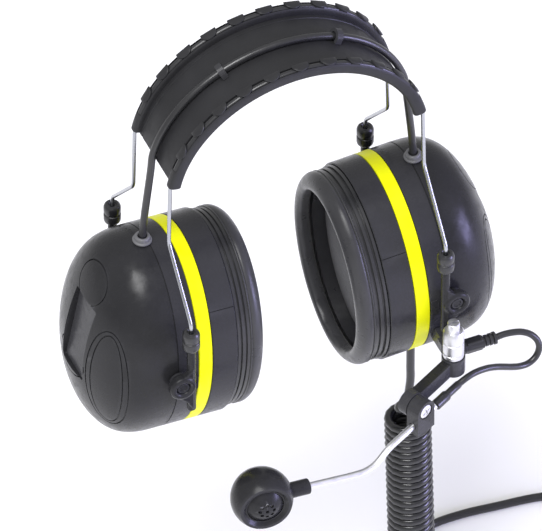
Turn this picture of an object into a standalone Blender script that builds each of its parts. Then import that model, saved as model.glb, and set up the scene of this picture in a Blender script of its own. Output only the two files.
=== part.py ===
"""Aviation headset: a wire headband carries two ear cups, and one cup carries a microphone boom.

Metres, +Z up. The origin lies midway between the cups at the height of their pivots. +X is the
wearer's left, the side of the boom, and -Y is the way the wearer faces.
"""

import math

import bmesh
import bpy
from mathutils import Matrix, Vector

MM = 0.001
GAP = 0.3 * MM
CUT_LENGTH = 20.0 * MM
SIDES = {"left": 1, "right": -1}
ENDS = {"front": -1, "rear": 1}

# Ear cups. Stations along a cup run outboard from its pivot plane.
PIVOT_X = 69.3 * MM
CUP_HALF_WIDTH = 41.6 * MM
CUP_HALF_HEIGHT = 53.6 * MM
CUP_CENTRE_Z = -2.5 * MM
CUP_TILT = math.radians(-2.9)
WALL = 2.5 * MM
DOME_DEPTH = 36.2 * MM
DOME_DROP = 8.0 * MM
DOME_SHIFT = 2.0 * MM
DOME_PROFILE_POWER = 3.34
DOME_EDGE_POWER = 1.51
CAVITY_DEPTH = 28.0 * MM
BAND_OUTER = -10.9 * MM
BAND_INNER = -17.7 * MM
FLANGE_OUTER = -28.6 * MM
FLANGE_INNER = -30.6 * MM
CUSHION_BACK = -37.9 * MM
CUSHION_FACE = -45.8 * MM
EAR_HALF_WIDTH = 33.2 * MM
RING_STEPS = 36
GROMMET_X = 1.9 * MM
GROMMET_Y = 0.8 * MM
GLAND_X = -5.2 * MM
CABLE_HOLE = 2.3 * MM
GLAND_HOLE = 2.9 * MM

# Name plate recess in the dome.
PLATE_WIDTH = 20.4 * MM
PLATE_HEIGHT = 41.9 * MM
PLATE_CENTRE = Vector((29.6, -0.6, 3.3)) * MM
PLATE_LEAN = math.radians(-8.1)
PLATE_THICKNESS = 0.8 * MM

# Headband.
WIRE_ARC = 64.4 * MM
WIRE_DROP = 3.2 * MM
ARCH_CENTRE_Z = 91.0 * MM
WIRE_ARC_START = math.radians(9.5)
STRAP_START = math.radians(11.0)
STRAP_OUTER = 63.0 * MM
STRAP_DROP = 4.6 * MM
STRAP_THICKNESS = 1.8 * MM
SLEEVE_Y = 20.5 * MM
SLEEVE_HALF_WIDTH = 2.6 * MM
SLEEVE_HALF_DEPTH = 3.2 * MM
SLEEVE_CENTRE = 62.9 * MM
WIRE_RADIUS = 0.95 * MM
WIRE_BEND = 2.0 * MM
FOOT_Z = 37.0 * MM
BEND_Z = 67.3 * MM
CLIP_ANGLE = math.radians(63.8)
CLIP_INNER = 2.2 * MM
CLIP_OUTER = 3.9 * MM
CLIP_WIDTH = 3.2 * MM
CLIP_STEPS = 10

# Fasteners that join the wires to the cups.
STEM_X = 64.3 * MM
STEM_Y = 46.0 * MM
STEM_RADIUS = 2.2 * MM
STEM_TOP = 21.6 * MM
STEM_BOTTOM = -17.0 * MM
WIRE_END_Z = -6.0 * MM
BORE_RADIUS = 1.25 * MM
EYE_RADIUS = 6.5 * MM
EYE_BORE = 3.4 * MM
PIN_RADIUS = 3.0 * MM
EYE_INNER_Y = 45.3 * MM
EYE_OUTER_Y = 48.7 * MM

# Microphone boom. Its parts hang from a post on the left cup.
POST = Vector((64.6, -55.0, -25.8)) * MM
POST_RADIUS = 5.0 * MM
BRACKET_BACK_Y = -32.0 * MM
BRACKET_FRONT_Y = -48.8 * MM
BRACKET_OUTLINE = ((71.5, -37.4), (67.0, -37.4), (62.1, -31.0), (62.1, -22.0), (71.5, -22.0))
BRACKET_CUT_Z = -60.0 * MM
SADDLE_START = Vector((64.6, -47.0, -22.9)) * MM
SADDLE_WIDTH = 9.4 * MM
SADDLE_HEIGHT = 5.0 * MM
SADDLE_DEPTH = 5.0 * MM
HUB_RADIUS = 5.6 * MM
HUB_HEIGHT = 9.2 * MM
ARM_LENGTH = 29.6 * MM
ARM_HEADING = math.radians(203.9)
ARM_SLOPE = math.radians(8.0)
ARM_START = 4.2 * MM
ARM_WIDTH = 5.0 * MM
ARM_HEIGHT = 8.0 * MM
CLAMP_START = 2.8 * MM
CLAMP_END = 9.8 * MM
CLAMP_RADIUS = 5.7 * MM
ARM_EYE_RADIUS = 6.2 * MM
CLAMP_DROP = 12.5 * MM
BOOM_DROP = 7.0 * MM
SCREW_RADIUS = 1.4 * MM
SCREW_HOLE = 1.8 * MM
HEAD_RADIUS = 3.6 * MM
HEAD_DEPTH = 1.4 * MM
BOOM_SLOPE = math.radians(7.5)
BOOM_RADIUS = 1.65 * MM
BOOM_BACK = 10.0 * MM
BOOM_POINTS = ((12.4, -85.2, -48.0), (6.5, -87.0, -49.0), (0.4, -87.5, -48.9), (-10.7, -87.5, -47.9),
               (-23.1, -87.5, -46.6))
MIC_CENTRE = Vector((-47.0, -87.5, -44.6)) * MM
MIC_RADIUS = 14.7 * MM
MIC_FLAT = 8.0 * MM
MIC_FACING = Vector((-0.14, -0.99, 0.03)).normalized()
NECK_END_X = -23.4 * MM
NECK_RADIUS = 3.8 * MM
NECK_DROP = 1.9 * MM

# Cables: routes are chosen points, in millimetres.
THIN_CABLE = 1.6 * MM
BAND_CABLE = 1.8 * MM
CORD_RADIUS = 2.05 * MM
COIL_TOP = Vector((66.3, 0.0, -113.5)) * MM
COIL_BOTTOM = Vector((68.8, 0.0, -200.0)) * MM
COIL_RADIUS = 11.35 * MM
BAND_CABLE_POINTS = (
    (68.7, 0.8, 49.5), (68.2, 0.7, 58.0), (67.3, 0.5, 68.5), (66.3, 0.3, 78.0), (65.3, 0.1, 87.0),
    (64.3, 0.0, 96.0),
)
MIC_PLUG_START = Vector((71.8, -45.0, -33.9)) * MM
MIC_CABLE_POINTS = (
    (68.4, -61.0, -37.2), (72.6, -59.8, -36.9), (77.0, -58.6, -37.6),
    (81.5, -57.4, -39.0), (86.0, -56.4, -41.0), (90.4, -55.4, -43.6), (95.0, -54.2, -46.6),
    (100.0, -53.0, -49.2), (105.0, -52.0, -49.9), (109.0, -51.0, -47.8), (110.9, -50.0, -43.8),
    (110.3, -48.8, -39.8), (107.6, -47.4, -36.4), (103.8, -46.2, -34.4), (99.6, -45.4, -33.7),
    (95.0, -45.0, -33.5), (91.3, -45.0, -33.9),
)
LEAD_POINTS = (
    (69.2, 0.4, -212.0), (70.4, 2.6, -225.0), (72.2, 7.4, -237.0),
    (74.4, 14.6, -246.2), (77.0, 23.4, -251.0), (80.4, 32.0, -252.7), (86.0, 40.6, -252.9),
    (94.0, 47.6, -252.9), (104.5, 51.1, -252.9), (120.0, 51.4, -252.9), (137.0, 49.6, -252.9),
    (154.6, 47.6, -252.9), (168.0, 43.8, -252.9), (177.0, 36.6, -252.9), (182.0, 26.4, -252.9),
    (184.0, 14.0, -251.6), (184.4, 4.0, -249.0), (184.5, -5.0, -247.9),
)
PLUG_START = Vector((184.5, -5.3, -247.9)) * MM

COLOURS = {
    "black_plastic": ((0.030, 0.030, 0.034), 0.42, 0.0),
    "yellow_plastic": ((0.90, 0.86, 0.0), 0.40, 0.0),
    "cushion_vinyl": ((0.026, 0.026, 0.030), 0.45, 0.0),
    "black_foam": ((0.020, 0.020, 0.021), 0.95, 0.0),
    "strap_vinyl": ((0.035, 0.035, 0.038), 0.55, 0.0),
    "spring_steel": ((0.72, 0.73, 0.76), 0.22, 1.0),
    "satin_steel": ((0.80, 0.81, 0.84), 0.30, 1.0),
    "grey_rubber": ((0.16, 0.16, 0.17), 0.60, 0.0),
    "black_rubber": ((0.022, 0.022, 0.024), 0.50, 0.0),
    "brass": ((0.62, 0.45, 0.18), 0.30, 1.0),
}


def clear_scene():
    for obj in list(bpy.data.objects):
        bpy.data.objects.remove(obj, do_unlink=True)


def material(name):
    if name in bpy.data.materials:
        return bpy.data.materials[name]
    colour, roughness, metallic = COLOURS[name]
    mat = bpy.data.materials.new(name)
    mat.use_nodes = True
    shader = mat.node_tree.nodes["Principled BSDF"]
    shader.inputs["Base Color"].default_value = (*colour, 1.0)
    shader.inputs["Roughness"].default_value = roughness
    shader.inputs["Metallic"].default_value = metallic
    return mat


def link_object(name, data, finish, parent=None):
    obj = bpy.data.objects.new(name, data)
    bpy.context.scene.collection.objects.link(obj)
    data.materials.append(material(finish))
    if parent:
        obj.parent = parent
    return obj


def pivot_empty(name, location, turn_y=0.0, parent=None):
    empty = bpy.data.objects.new(name, None)
    bpy.context.scene.collection.objects.link(empty)
    empty.location = location
    empty.rotation_euler.y = turn_y
    if parent:
        empty.parent = parent
    return empty


def cup_frame(side_name):
    side = SIDES[side_name]
    turn = Matrix.Rotation(side * CUP_TILT, 4, "Y")
    return Matrix.Translation((side * PIVOT_X, 0, 0)) @ turn


def place(points, matrix):
    return [matrix @ point for point in points]


def ring_mesh(name, rings, closed=False):
    """A surface through rings of points. A ring of one point is a pole, and end rings are capped."""
    mesh = bmesh.new()
    made = [[mesh.verts.new(point) for point in ring] for ring in rings]
    pairs = list(zip(made, made[1:]))
    if closed:
        pairs.append((made[-1], made[0]))
    for low, high in pairs:
        count = max(len(low), len(high))
        for i in range(count):
            j = (i + 1) % count
            if len(low) == 1:
                corners = (low[0], high[j], high[i])
            elif len(high) == 1:
                corners = (low[i], low[j], high[0])
            else:
                corners = (low[i], low[j], high[j], high[i])
            mesh.faces.new(corners)
    if not closed:
        for ring in (made[0], made[-1]):
            if len(ring) > 1:
                mesh.faces.new(ring)
    bmesh.ops.recalc_face_normals(mesh, faces=mesh.faces)
    data = bpy.data.meshes.new(name)
    mesh.to_mesh(data)
    mesh.free()
    data.shade_smooth()
    data.set_sharp_from_angle(angle=math.radians(35))
    return data


def revolved(profile, steps, matrix, closed=False):
    """Rings of a turned shape. The profile is (radius, height) pairs, turned about the matrix's Z."""
    rings = []
    for radius, height in profile:
        if radius == 0:
            ring = [Vector((0, 0, height))]
        else:
            turns = [2 * math.pi * i / steps for i in range(steps)]
            ring = [Vector((radius * math.cos(t), radius * math.sin(t), height)) for t in turns]
        rings.append(place(ring, matrix))
    return ring_mesh("turned", rings, closed)


def turned(radius, length, steps, matrix):
    """A plain cylinder that starts at the matrix's origin and runs along its Z."""
    return revolved(((0, 0), (radius, 0), (radius, length), (0, length)), steps, matrix)


def in_millimetres(profile):
    return [(radius * MM, height * MM) for radius, height in profile]


def facing_y(origin, end):
    """A frame with its X and Y along the world's X and Z, and its Z along end times the world's Y."""
    turn = Matrix(((1, 0, 0), (0, 0, end), (0, 1, 0))).to_4x4()
    return Matrix.Translation(origin) @ turn


def aligned(origin, axis, side=Vector((0, 0, 1))):
    """A frame at origin with its Z along axis and its X as near as possible to side."""
    z = axis.normalized()
    if abs(z.dot(side.normalized())) > 0.99:
        side = Vector((1, 0, 0))
    x = (side - z * side.dot(z)).normalized()
    y = z.cross(x)
    turn = Matrix((x, y, z)).transposed().to_4x4()
    return Matrix.Translation(origin) @ turn


def prism(outline, depth, matrix):
    """A flat outline in the matrix's XY plane, thickened along its Z from 0 to depth."""
    rings = [[Vector((x, y, level)) for x, y in outline] for level in (0.0, depth)]
    return ring_mesh("prism", [place(ring, matrix) for ring in rings])


def helper(name, data):
    """A cutter or a joined shape: it shapes another object and is not itself a part."""
    obj = bpy.data.objects.new(name, data)
    bpy.context.scene.collection.objects.link(obj)
    obj.hide_render = True
    obj.display_type = "WIRE"
    return obj


def combine(obj, operation, data, label):
    tool = helper(f"{obj.name}_{label}", data)
    tool.parent = obj.parent
    modifier = obj.modifiers.new(label, "BOOLEAN")
    modifier.operation = operation
    modifier.solver = "EXACT"
    modifier.object = tool


def ellipse(half_width, half_height, centre_y, centre_z, x):
    turns = [2 * math.pi * i / RING_STEPS for i in range(RING_STEPS)]
    return [
        Vector((x, centre_y + half_width * math.cos(t), centre_z + half_height * math.sin(t)))
        for t in turns
    ]


def cup_rings(stations, side):
    """Rings of a cup part. A station is (distance outboard, inset from the cup's outline)."""
    rings = []
    for outboard, inset in stations:
        rings.append(ellipse(
            CUP_HALF_WIDTH - inset, CUP_HALF_HEIGHT - inset, 0.0, CUP_CENTRE_Z, side * outboard,
        ))
    return rings


def dome_rings(depth, inset, side, steps):
    """Rings of the dome from its rim to its pole."""
    rings = []
    for i in range(steps + 1):
        turn = math.pi / 2 * i / steps
        along = math.sin(turn) ** (2 / DOME_PROFILE_POWER)
        shrink = max(math.cos(turn), 0.0) ** (2 / DOME_EDGE_POWER)
        centre_y = DOME_SHIFT * along**2
        centre_z = CUP_CENTRE_Z - DOME_DROP * along**2
        if i == steps:
            rings.append([Vector((side * depth * along, centre_y, centre_z))])
        else:
            rings.append(ellipse(
                (CUP_HALF_WIDTH - inset) * shrink, (CUP_HALF_HEIGHT - inset) * shrink,
                centre_y, centre_z, side * depth * along,
            ))
    return rings


def plate_frame(side):
    """The floor of the name plate recess: its Z points outboard and its Y up."""
    outward = Vector((side * math.cos(PLATE_LEAN), 0, -math.sin(PLATE_LEAN)))
    centre = Vector((side * PLATE_CENTRE.x, PLATE_CENTRE.y, PLATE_CENTRE.z))
    return aligned(centre, outward, Vector((0, 1, 0)))


def rectangle(width, height):
    return [(-width / 2, -height / 2), (width / 2, -height / 2),
            (width / 2, height / 2), (-width / 2, height / 2)]


def outer_shell(side_name, pivot):
    side = SIDES[side_name]
    rim = BAND_OUTER + GAP
    outside = cup_rings([(rim, 0.0)], side) + dome_rings(DOME_DEPTH, 0.0, side, 11)
    inside = cup_rings([(rim, WALL)], side) + dome_rings(CAVITY_DEPTH, WALL, side, 7)
    data = ring_mesh("outer_shell", outside[::-1] + inside)
    shell = link_object(f"{side_name}_outer_shell", data, "black_plastic", pivot)
    recess = prism(rectangle(PLATE_WIDTH, PLATE_HEIGHT), CUT_LENGTH, plate_frame(side))
    combine(shell, "DIFFERENCE", recess, "recess")
    top = Matrix.Translation((side * GROMMET_X, GROMMET_Y, CUP_HALF_HEIGHT - CUT_LENGTH / 2))
    combine(shell, "DIFFERENCE", turned(CABLE_HOLE, CUT_LENGTH, 16, top), "cable_hole")
    if side_name == "left":
        bottom = Matrix.Translation((GLAND_X, 0, -CUP_HALF_HEIGHT - CUT_LENGTH / 2))
        combine(shell, "DIFFERENCE", turned(GLAND_HOLE, CUT_LENGTH, 16, bottom), "cord_hole")


def name_plate(side_name, pivot):
    side = SIDES[side_name]
    lifted = plate_frame(side) @ Matrix.Translation((0, 0, GAP))
    outline = rectangle(PLATE_WIDTH - 2 * GAP, PLATE_HEIGHT - 2 * GAP)
    link_object(f"{side_name}_name_plate", prism(outline, PLATE_THICKNESS, lifted),
                "black_plastic", pivot)


def cup_ring_part(name, side_name, pivot, stations, finish):
    rings = cup_rings(stations, SIDES[side_name])
    link_object(f"{side_name}_{name}", ring_mesh(name, rings, closed=True), finish, pivot)


def ear_inset(extra=0.0):
    return CUP_HALF_WIDTH - EAR_HALF_WIDTH + extra


def band_and_inner_shell(side_name, pivot):
    cup_ring_part("colour_band", side_name, pivot, (
        (BAND_OUTER, 0.0), (BAND_INNER, 0.0), (BAND_INNER, WALL), (BAND_OUTER, WALL),
    ), "yellow_plastic")
    cup_ring_part("inner_shell", side_name, pivot, (
        (BAND_INNER - GAP, 0.0), (FLANGE_INNER, 0.0), (FLANGE_INNER, ear_inset()),
        (FLANGE_OUTER, ear_inset()), (FLANGE_OUTER, WALL), (BAND_INNER - GAP, WALL),
    ), "black_plastic")


def cushion_ring(side_name, pivot):
    inner = ear_inset()
    cup_ring_part("cushion_ring", side_name, pivot, (
        (FLANGE_INNER - GAP, 0.9 * MM), (-32.4 * MM, 0.9 * MM), (-32.6 * MM, 2.2 * MM),
        (-33.4 * MM, 2.2 * MM), (-33.6 * MM, 1.4 * MM), (-35.2 * MM, 1.4 * MM),
        (-35.4 * MM, 2.4 * MM), (-36.0 * MM, 2.4 * MM), (-36.2 * MM, 1.6 * MM),
        (CUSHION_BACK + GAP, 1.6 * MM), (CUSHION_BACK + GAP, inner), (FLANGE_INNER - GAP, inner),
    ), "black_plastic")


def ear_cushion(side_name, pivot):
    inner = ear_inset()
    cup_ring_part("ear_cushion", side_name, pivot, (
        (CUSHION_BACK, 1.6 * MM), (-40.0 * MM, 1.0 * MM), (-42.2 * MM, 1.6 * MM),
        (-44.2 * MM, 3.4 * MM), (-45.4 * MM, 5.4 * MM), (CUSHION_FACE, 6.4 * MM),
        (CUSHION_FACE, 7.4 * MM), (-45.0 * MM, inner), (CUSHION_BACK, inner),
    ), "cushion_vinyl")


def ear_foam(side_name, pivot):
    inset = ear_inset(0.6 * MM)
    rings = cup_rings(((-31.6 * MM, inset), (FLANGE_OUTER, inset)), SIDES[side_name])
    link_object(f"{side_name}_ear_foam", ring_mesh("ear_foam", rings), "black_foam", pivot)


def speaker_parts(side_name, pivot):
    side = SIDES[side_name]
    inset = WALL + GAP
    rings = cup_rings(((FLANGE_OUTER + GAP, inset), (-26.0 * MM, inset)), side)
    plate = link_object(f"{side_name}_speaker_plate", ring_mesh("speaker_plate", rings),
                        "black_plastic", pivot)
    centre = aligned(Vector((0, 0, CUP_CENTRE_Z)), Vector((side, 0, 0)))
    behind = centre @ Matrix.Translation((0, 0, -32 * MM))
    combine(plate, "DIFFERENCE", turned(14 * MM, 12 * MM, 24, behind), "opening")
    profile = ((0, -25.7), (20, -25.7), (20, -21.7), (12.5, -20.2), (12.5, -14.7), (0, -14.7))
    profile = in_millimetres(profile)
    link_object(f"{side_name}_speaker", revolved(profile, 28, centre), "satin_steel", pivot)


def foam_liner(side_name, pivot):
    side = SIDES[side_name]
    rim = BAND_OUTER + 2 * MM
    inset = WALL + 0.6 * MM
    outside = cup_rings([(rim, inset)], side) + dome_rings(CAVITY_DEPTH - 2 * MM, inset, side, 5)
    thick = inset + 8 * MM
    inside = cup_rings([(rim, thick)], side) + dome_rings(CAVITY_DEPTH - 10 * MM, thick, side, 4)
    link_object(f"{side_name}_foam_liner", ring_mesh("foam_liner", outside[::-1] + inside),
                "black_foam", pivot)


def pivot_pins(side_name, pivot):
    for end_name, end in ENDS.items():
        frame = aligned(Vector((0, end * (CUP_HALF_WIDTH + GAP), 0)), Vector((0, end, 0)))
        reach = EYE_OUTER_Y - CUP_HALF_WIDTH - GAP
        profile = ((0, 0), (4.4 * MM, 0), (4.4 * MM, 1.5 * MM), (PIN_RADIUS, 1.5 * MM),
                   (PIN_RADIUS, reach), (0, reach))
        link_object(f"{side_name}_{end_name}_pivot_pin", revolved(profile, 20, frame),
                    "black_plastic", pivot)


def cable_grommet(side_name, pivot):
    base = CUP_HALF_HEIGHT + CUP_CENTRE_Z + GAP
    frame = Matrix.Translation((SIDES[side_name] * GROMMET_X, GROMMET_Y, base))
    profile = ((4.5, 0.0), (4.5, 1.2), (3.6, 1.7), (3.6, 2.9), (3.0, 3.3), (2.3, 3.3), (2.3, 0.0))
    profile = in_millimetres(profile)
    link_object(f"{side_name}_cable_grommet", revolved(profile, 20, frame, closed=True),
                "grey_rubber", pivot)


def fastener(side_name, end_name, slide):
    """A bar with a bore for the wire, and an eye beside it that the cup's pin turns in."""
    side, end = SIDES[side_name], ENDS[end_name]
    offset = side * (PIVOT_X - STEM_X)
    upright = Matrix.Translation((0, end * STEM_Y, 0))
    profile = ((0, STEM_BOTTOM), (STEM_RADIUS, STEM_BOTTOM), (STEM_RADIUS, STEM_TOP), (0, STEM_TOP))
    bar = link_object(f"{side_name}_{end_name}_fastener", revolved(profile, 16, upright),
                      "black_plastic", slide)
    outline = [(0.0, -15.6 * MM), (0.0, 10.0 * MM), (side * 2.6 * MM, 7.6 * MM)]
    for i in range(13):
        turn = math.radians(100 - 170 * i / 12)
        outline.append((offset + side * EYE_RADIUS * math.cos(turn), EYE_RADIUS * math.sin(turn)))
    outline.append((side * 3.2 * MM, -9.8 * MM))
    face = facing_y(Vector((0, end * EYE_INNER_Y, 0)), end)
    combine(bar, "UNION", prism(outline, EYE_OUTER_Y - EYE_INNER_Y, face), "eye")
    across = facing_y(Vector((offset, end * 40 * MM, 0)), end)
    combine(bar, "DIFFERENCE", turned(EYE_BORE, CUT_LENGTH, 20, across), "eye_bore")
    well = upright @ Matrix.Translation((0, 0, WIRE_END_Z - 4 * MM))
    combine(bar, "DIFFERENCE", turned(BORE_RADIUS, 60 * MM, 12, well), "wire_bore")


def collar(side_name, end_name, slide):
    frame = Matrix.Translation((0, ENDS[end_name] * STEM_Y, 0))
    bore = BORE_RADIUS / MM
    profile = ((3.6, 21.9), (4.1, 23.2), (4.1, 26.9), (3.7, 27.2), (3.7, 27.7), (4.1, 28.0),
               (4.1, 31.4), (3.4, 32.7), (bore, 32.7), (bore, 21.9))
    profile = in_millimetres(profile)
    link_object(f"{side_name}_{end_name}_collar", revolved(profile, 16, frame, closed=True),
                "black_rubber", slide)


def smooth_path(points, spacing):
    """Points at an even spacing on a smooth curve through the given points, in metres."""
    dense = []
    count = len(points)
    for i in range(count - 1):
        before = points[max(i - 1, 0)]
        start, end = points[i], points[i + 1]
        after = points[min(i + 2, count - 1)]
        for step in range(16):
            t = step / 16
            dense.append(0.5 * (
                2 * start + (end - before) * t
                + (2 * before - 5 * start + 4 * end - after) * t**2
                + (3 * start - before - 3 * end + after) * t**3
            ))
    dense.append(points[-1])
    lengths = [0.0]
    for a, b in zip(dense, dense[1:]):
        lengths.append(lengths[-1] + (b - a).length)
    total = max(2, round(lengths[-1] / spacing))
    path, k = [], 0
    for i in range(total + 1):
        target = lengths[-1] * i / total
        while k < len(dense) - 2 and lengths[k + 1] < target:
            k += 1
        share = (target - lengths[k]) / (lengths[k + 1] - lengths[k])
        path.append(dense[k].lerp(dense[k + 1], min(share, 1.0)))
    return path


def tube(name, path, radius, finish, parent=None, roundness=2):
    data = bpy.data.curves.new(name, "CURVE")
    data.dimensions = "3D"
    data.bevel_depth = radius
    data.bevel_resolution = roundness
    data.use_fill_caps = True
    spline = data.splines.new("POLY")
    spline.points.add(len(path) - 1)
    for point, place_at in zip(spline.points, path):
        point.co = (*place_at, 1.0)
    return link_object(name, data, finish, parent)


def in_metres(points):
    return [Vector(point) * MM for point in points]


def band_point(angle, radius, y, drop=STRAP_DROP):
    """A point of the headband's arch, which is lower than a circle by the drop at its top."""
    height = ARCH_CENTRE_Z + (radius - drop) * math.sin(angle)
    return Vector((radius * math.cos(angle), y, height))


def arc_angles(start, steps):
    return [start + (math.pi - 2 * start) * i / steps for i in range(steps + 1)]


def spring_wire(end_name):
    """One wire from cup to cup: up out of the fastener, along the strap's edge and down again."""
    end = ENDS[end_name]
    low, high = end * STEM_Y, end * SLEEVE_Y
    slant = Vector((0, high - low, BEND_Z - FOOT_Z)).normalized() * WIRE_BEND
    foot, knee = Vector((STEM_X, low, FOOT_Z)), Vector((STEM_X, high, BEND_Z))
    up = Vector((0, 0, WIRE_BEND))
    half = [Vector((STEM_X, low, WIRE_END_Z)), foot - up, foot.lerp(foot + slant, 0.25),
            foot + slant, knee - slant, knee.lerp(knee + up, 0.25), knee + up]
    arc = [band_point(angle, WIRE_ARC, high, WIRE_DROP) for angle in arc_angles(WIRE_ARC_START, 32)]
    other = [Vector((-p.x, p.y, p.z)) for p in reversed(half)]
    tube(f"{end_name}_spring_wire", half + arc + other, WIRE_RADIUS, "spring_steel")


def edge_sleeve(end_name):
    """The thick edge of the strap, with a bore along its outer side for the wire."""
    y = ENDS[end_name] * SLEEVE_Y
    sections = (
        (SLEEVE_CENTRE, SLEEVE_HALF_DEPTH, SLEEVE_HALF_WIDTH, 12),
        (WIRE_ARC, BORE_RADIUS, BORE_RADIUS, 12),
    )
    surfaces = []
    for radius, depth, width, steps in sections:
        turns = [2 * math.pi * i / steps for i in range(steps)]
        surfaces.append([
            [band_point(angle, radius + depth * math.cos(t), y + width * math.sin(t), WIRE_DROP)
             for t in turns]
            for angle in arc_angles(STRAP_START, 24)
        ])
    outside, inside = surfaces
    link_object(f"{end_name}_edge_sleeve", ring_mesh("edge_sleeve", outside + inside[::-1], closed=True),
                "strap_vinyl")


def strap():
    half = SLEEVE_Y - SLEEVE_HALF_WIDTH - GAP
    low = STRAP_OUTER - STRAP_THICKNESS
    corners = ((low, -half), (low, half), (STRAP_OUTER, half), (STRAP_OUTER, -half))
    rings = [[band_point(angle, radius, y) for radius, y in corners]
             for angle in arc_angles(STRAP_START, 30)]
    link_object("headband_strap", ring_mesh("headband_strap", rings), "strap_vinyl")


def cable_clip(side_name):
    """A small arch over the headband cable. Its ends stand on the strap."""
    angle = CLIP_ANGLE if SIDES[side_name] > 0 else math.pi - CLIP_ANGLE
    along = Vector((-math.sin(angle), 0, math.cos(angle)))
    outward = Vector((math.cos(angle), 0, math.sin(angle)))
    frame = aligned(band_point(angle, STRAP_OUTER + GAP, 0), along, outward)
    outline = [(0.0, CLIP_OUTER), (0.0, CLIP_INNER)]
    outline += half_circle(BAND_CABLE, CLIP_INNER, 1)
    outline += [(0.0, -CLIP_INNER), (0.0, -CLIP_OUTER)]
    outline += half_circle(BAND_CABLE, CLIP_OUTER, -1)
    centred = frame @ Matrix.Translation((0, 0, -CLIP_WIDTH / 2))
    link_object(f"{side_name}_cable_clip", prism(outline, CLIP_WIDTH, centred), "black_plastic")


def half_circle(middle, radius, direction):
    """Outline points of a half circle that bulges towards +X, from +Y to -Y or back."""
    turns = [math.pi * i / CLIP_STEPS for i in range(CLIP_STEPS + 1)]
    return [(middle + radius * math.sin(t), direction * radius * math.cos(t)) for t in turns]


def headband_cable():
    """The cable from cup to cup: out of one grommet, over the strap and into the other."""
    radius = STRAP_OUTER + GAP + BAND_CABLE
    up = in_metres(BAND_CABLE_POINTS)
    arc = [band_point(angle, radius, 0) for angle in arc_angles(math.radians(13), 24)]
    down = [Vector((-p.x, p.y, p.z)) for p in reversed(up)]
    tube("headband_cable", smooth_path(up + arc + down, 7 * MM), BAND_CABLE, "black_rubber")


def boom_axes():
    """Unit vectors of the boom arm: along it, across it towards the clamp, and down its slope."""
    along = Vector((math.cos(ARM_HEADING), math.sin(ARM_HEADING), 0))
    across = Vector((-along.y, along.x, 0))
    sloped = along * math.cos(ARM_SLOPE) - Vector((0, 0, math.sin(ARM_SLOPE)))
    return along, across, sloped


def arm_end():
    along, _, _ = boom_axes()
    middle = POST.z - GAP - HUB_HEIGHT / 2
    drop = ARM_LENGTH * math.tan(ARM_SLOPE)
    return Vector((POST.x, POST.y, middle - drop)) + along * ARM_LENGTH


def boom_line():
    """A point of the boom at the clamp's middle, and the boom's direction towards its back end."""
    along, across, _ = boom_axes()
    middle = arm_end() + across * (CLAMP_START + CLAMP_END) / 2 - Vector((0, 0, BOOM_DROP))
    back = -along * math.cos(BOOM_SLOPE) + Vector((0, 0, math.sin(BOOM_SLOPE)))
    return middle, back


def boom_bracket(pivot):
    """A block on the cup's wall, with a saddle for the post and a flat side for the mic plug."""
    to_cup = cup_frame("left").inverted()
    outward, across = Vector((0, -1, 0)), Vector((1, 0, 0))
    corners = [(x * MM, z * MM) for x, z in BRACKET_OUTLINE]
    rings = [[to_cup @ Vector((x, y, z)) for x, z in corners] for y in (BRACKET_BACK_Y, BRACKET_FRONT_Y)]
    block = ring_mesh("block", rings)
    bracket = link_object("boom_bracket", block, "black_plastic", pivot)
    saddle = prism(rectangle(SADDLE_WIDTH, SADDLE_HEIGHT), SADDLE_DEPTH,
                   to_cup @ aligned(SADDLE_START, outward, across))
    combine(bracket, "UNION", saddle, "saddle")
    upright = to_cup @ Matrix.Translation((POST.x, POST.y, BRACKET_CUT_Z))
    combine(bracket, "DIFFERENCE", turned(POST_RADIUS + GAP, -BRACKET_CUT_Z, 28, upright), "post_seat")
    wall = ring_mesh("wall", cup_rings(((-30 * MM, -GAP), (0.0, -GAP)), 1)
                     + dome_rings(DOME_DEPTH, -GAP, 1, 12)[1:])
    combine(bracket, "DIFFERENCE", wall, "cup_wall")


def boom_post(pivot):
    """The upright post, with the pin below it that the arm's hub turns on."""
    frame = cup_frame("left").inverted() @ Matrix.Translation(POST)
    radius = POST_RADIUS / MM
    profile = ((0, -9.4), (2.0, -9.4), (2.0, 0), (radius, 0), (radius, 15.5), (4.3, 16.3), (2.9, 16.3),
               (2.9, 21.3), (0, 21.3))
    link_object("boom_post", revolved(in_millimetres(profile), 28, frame), "satin_steel", pivot)


def mic_plug(pivot):
    """The ribbed plug of the microphone's cable, on the flat side of the bracket."""
    frame = cup_frame("left").inverted() @ aligned(MIC_PLUG_START, Vector((1, 0, 0)))
    profile = [(0, 0), (3.4, 0), (3.4, 3.0), (2.9, 3.2), (2.9, 12.4)]
    for rib in range(3):
        profile += [(2.3, 12.8 + 2 * rib), (2.3, 13.5 + 2 * rib), (2.6, 13.8 + 2 * rib)]
    profile += [(2.3, 19.2), (0, 19.2)]
    link_object("mic_plug", revolved(in_millimetres(profile), 16, frame), "black_rubber", pivot)


def cord_gland(pivot):
    """The sleeve through the bottom of the left cup that the cord hangs from."""
    frame = Matrix.Translation((GLAND_X, 0, CUP_CENTRE_Z - CUP_HALF_HEIGHT))
    profile = ((0, 2.4), (2.6, 2.4), (2.6, -0.3), (5.0, -0.3), (5.0, -1.7), (3.6, -2.0),
               (2.9, -13.9), (0, -13.9))
    link_object("cord_gland", revolved(in_millimetres(profile), 20, frame), "black_rubber", pivot)


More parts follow.
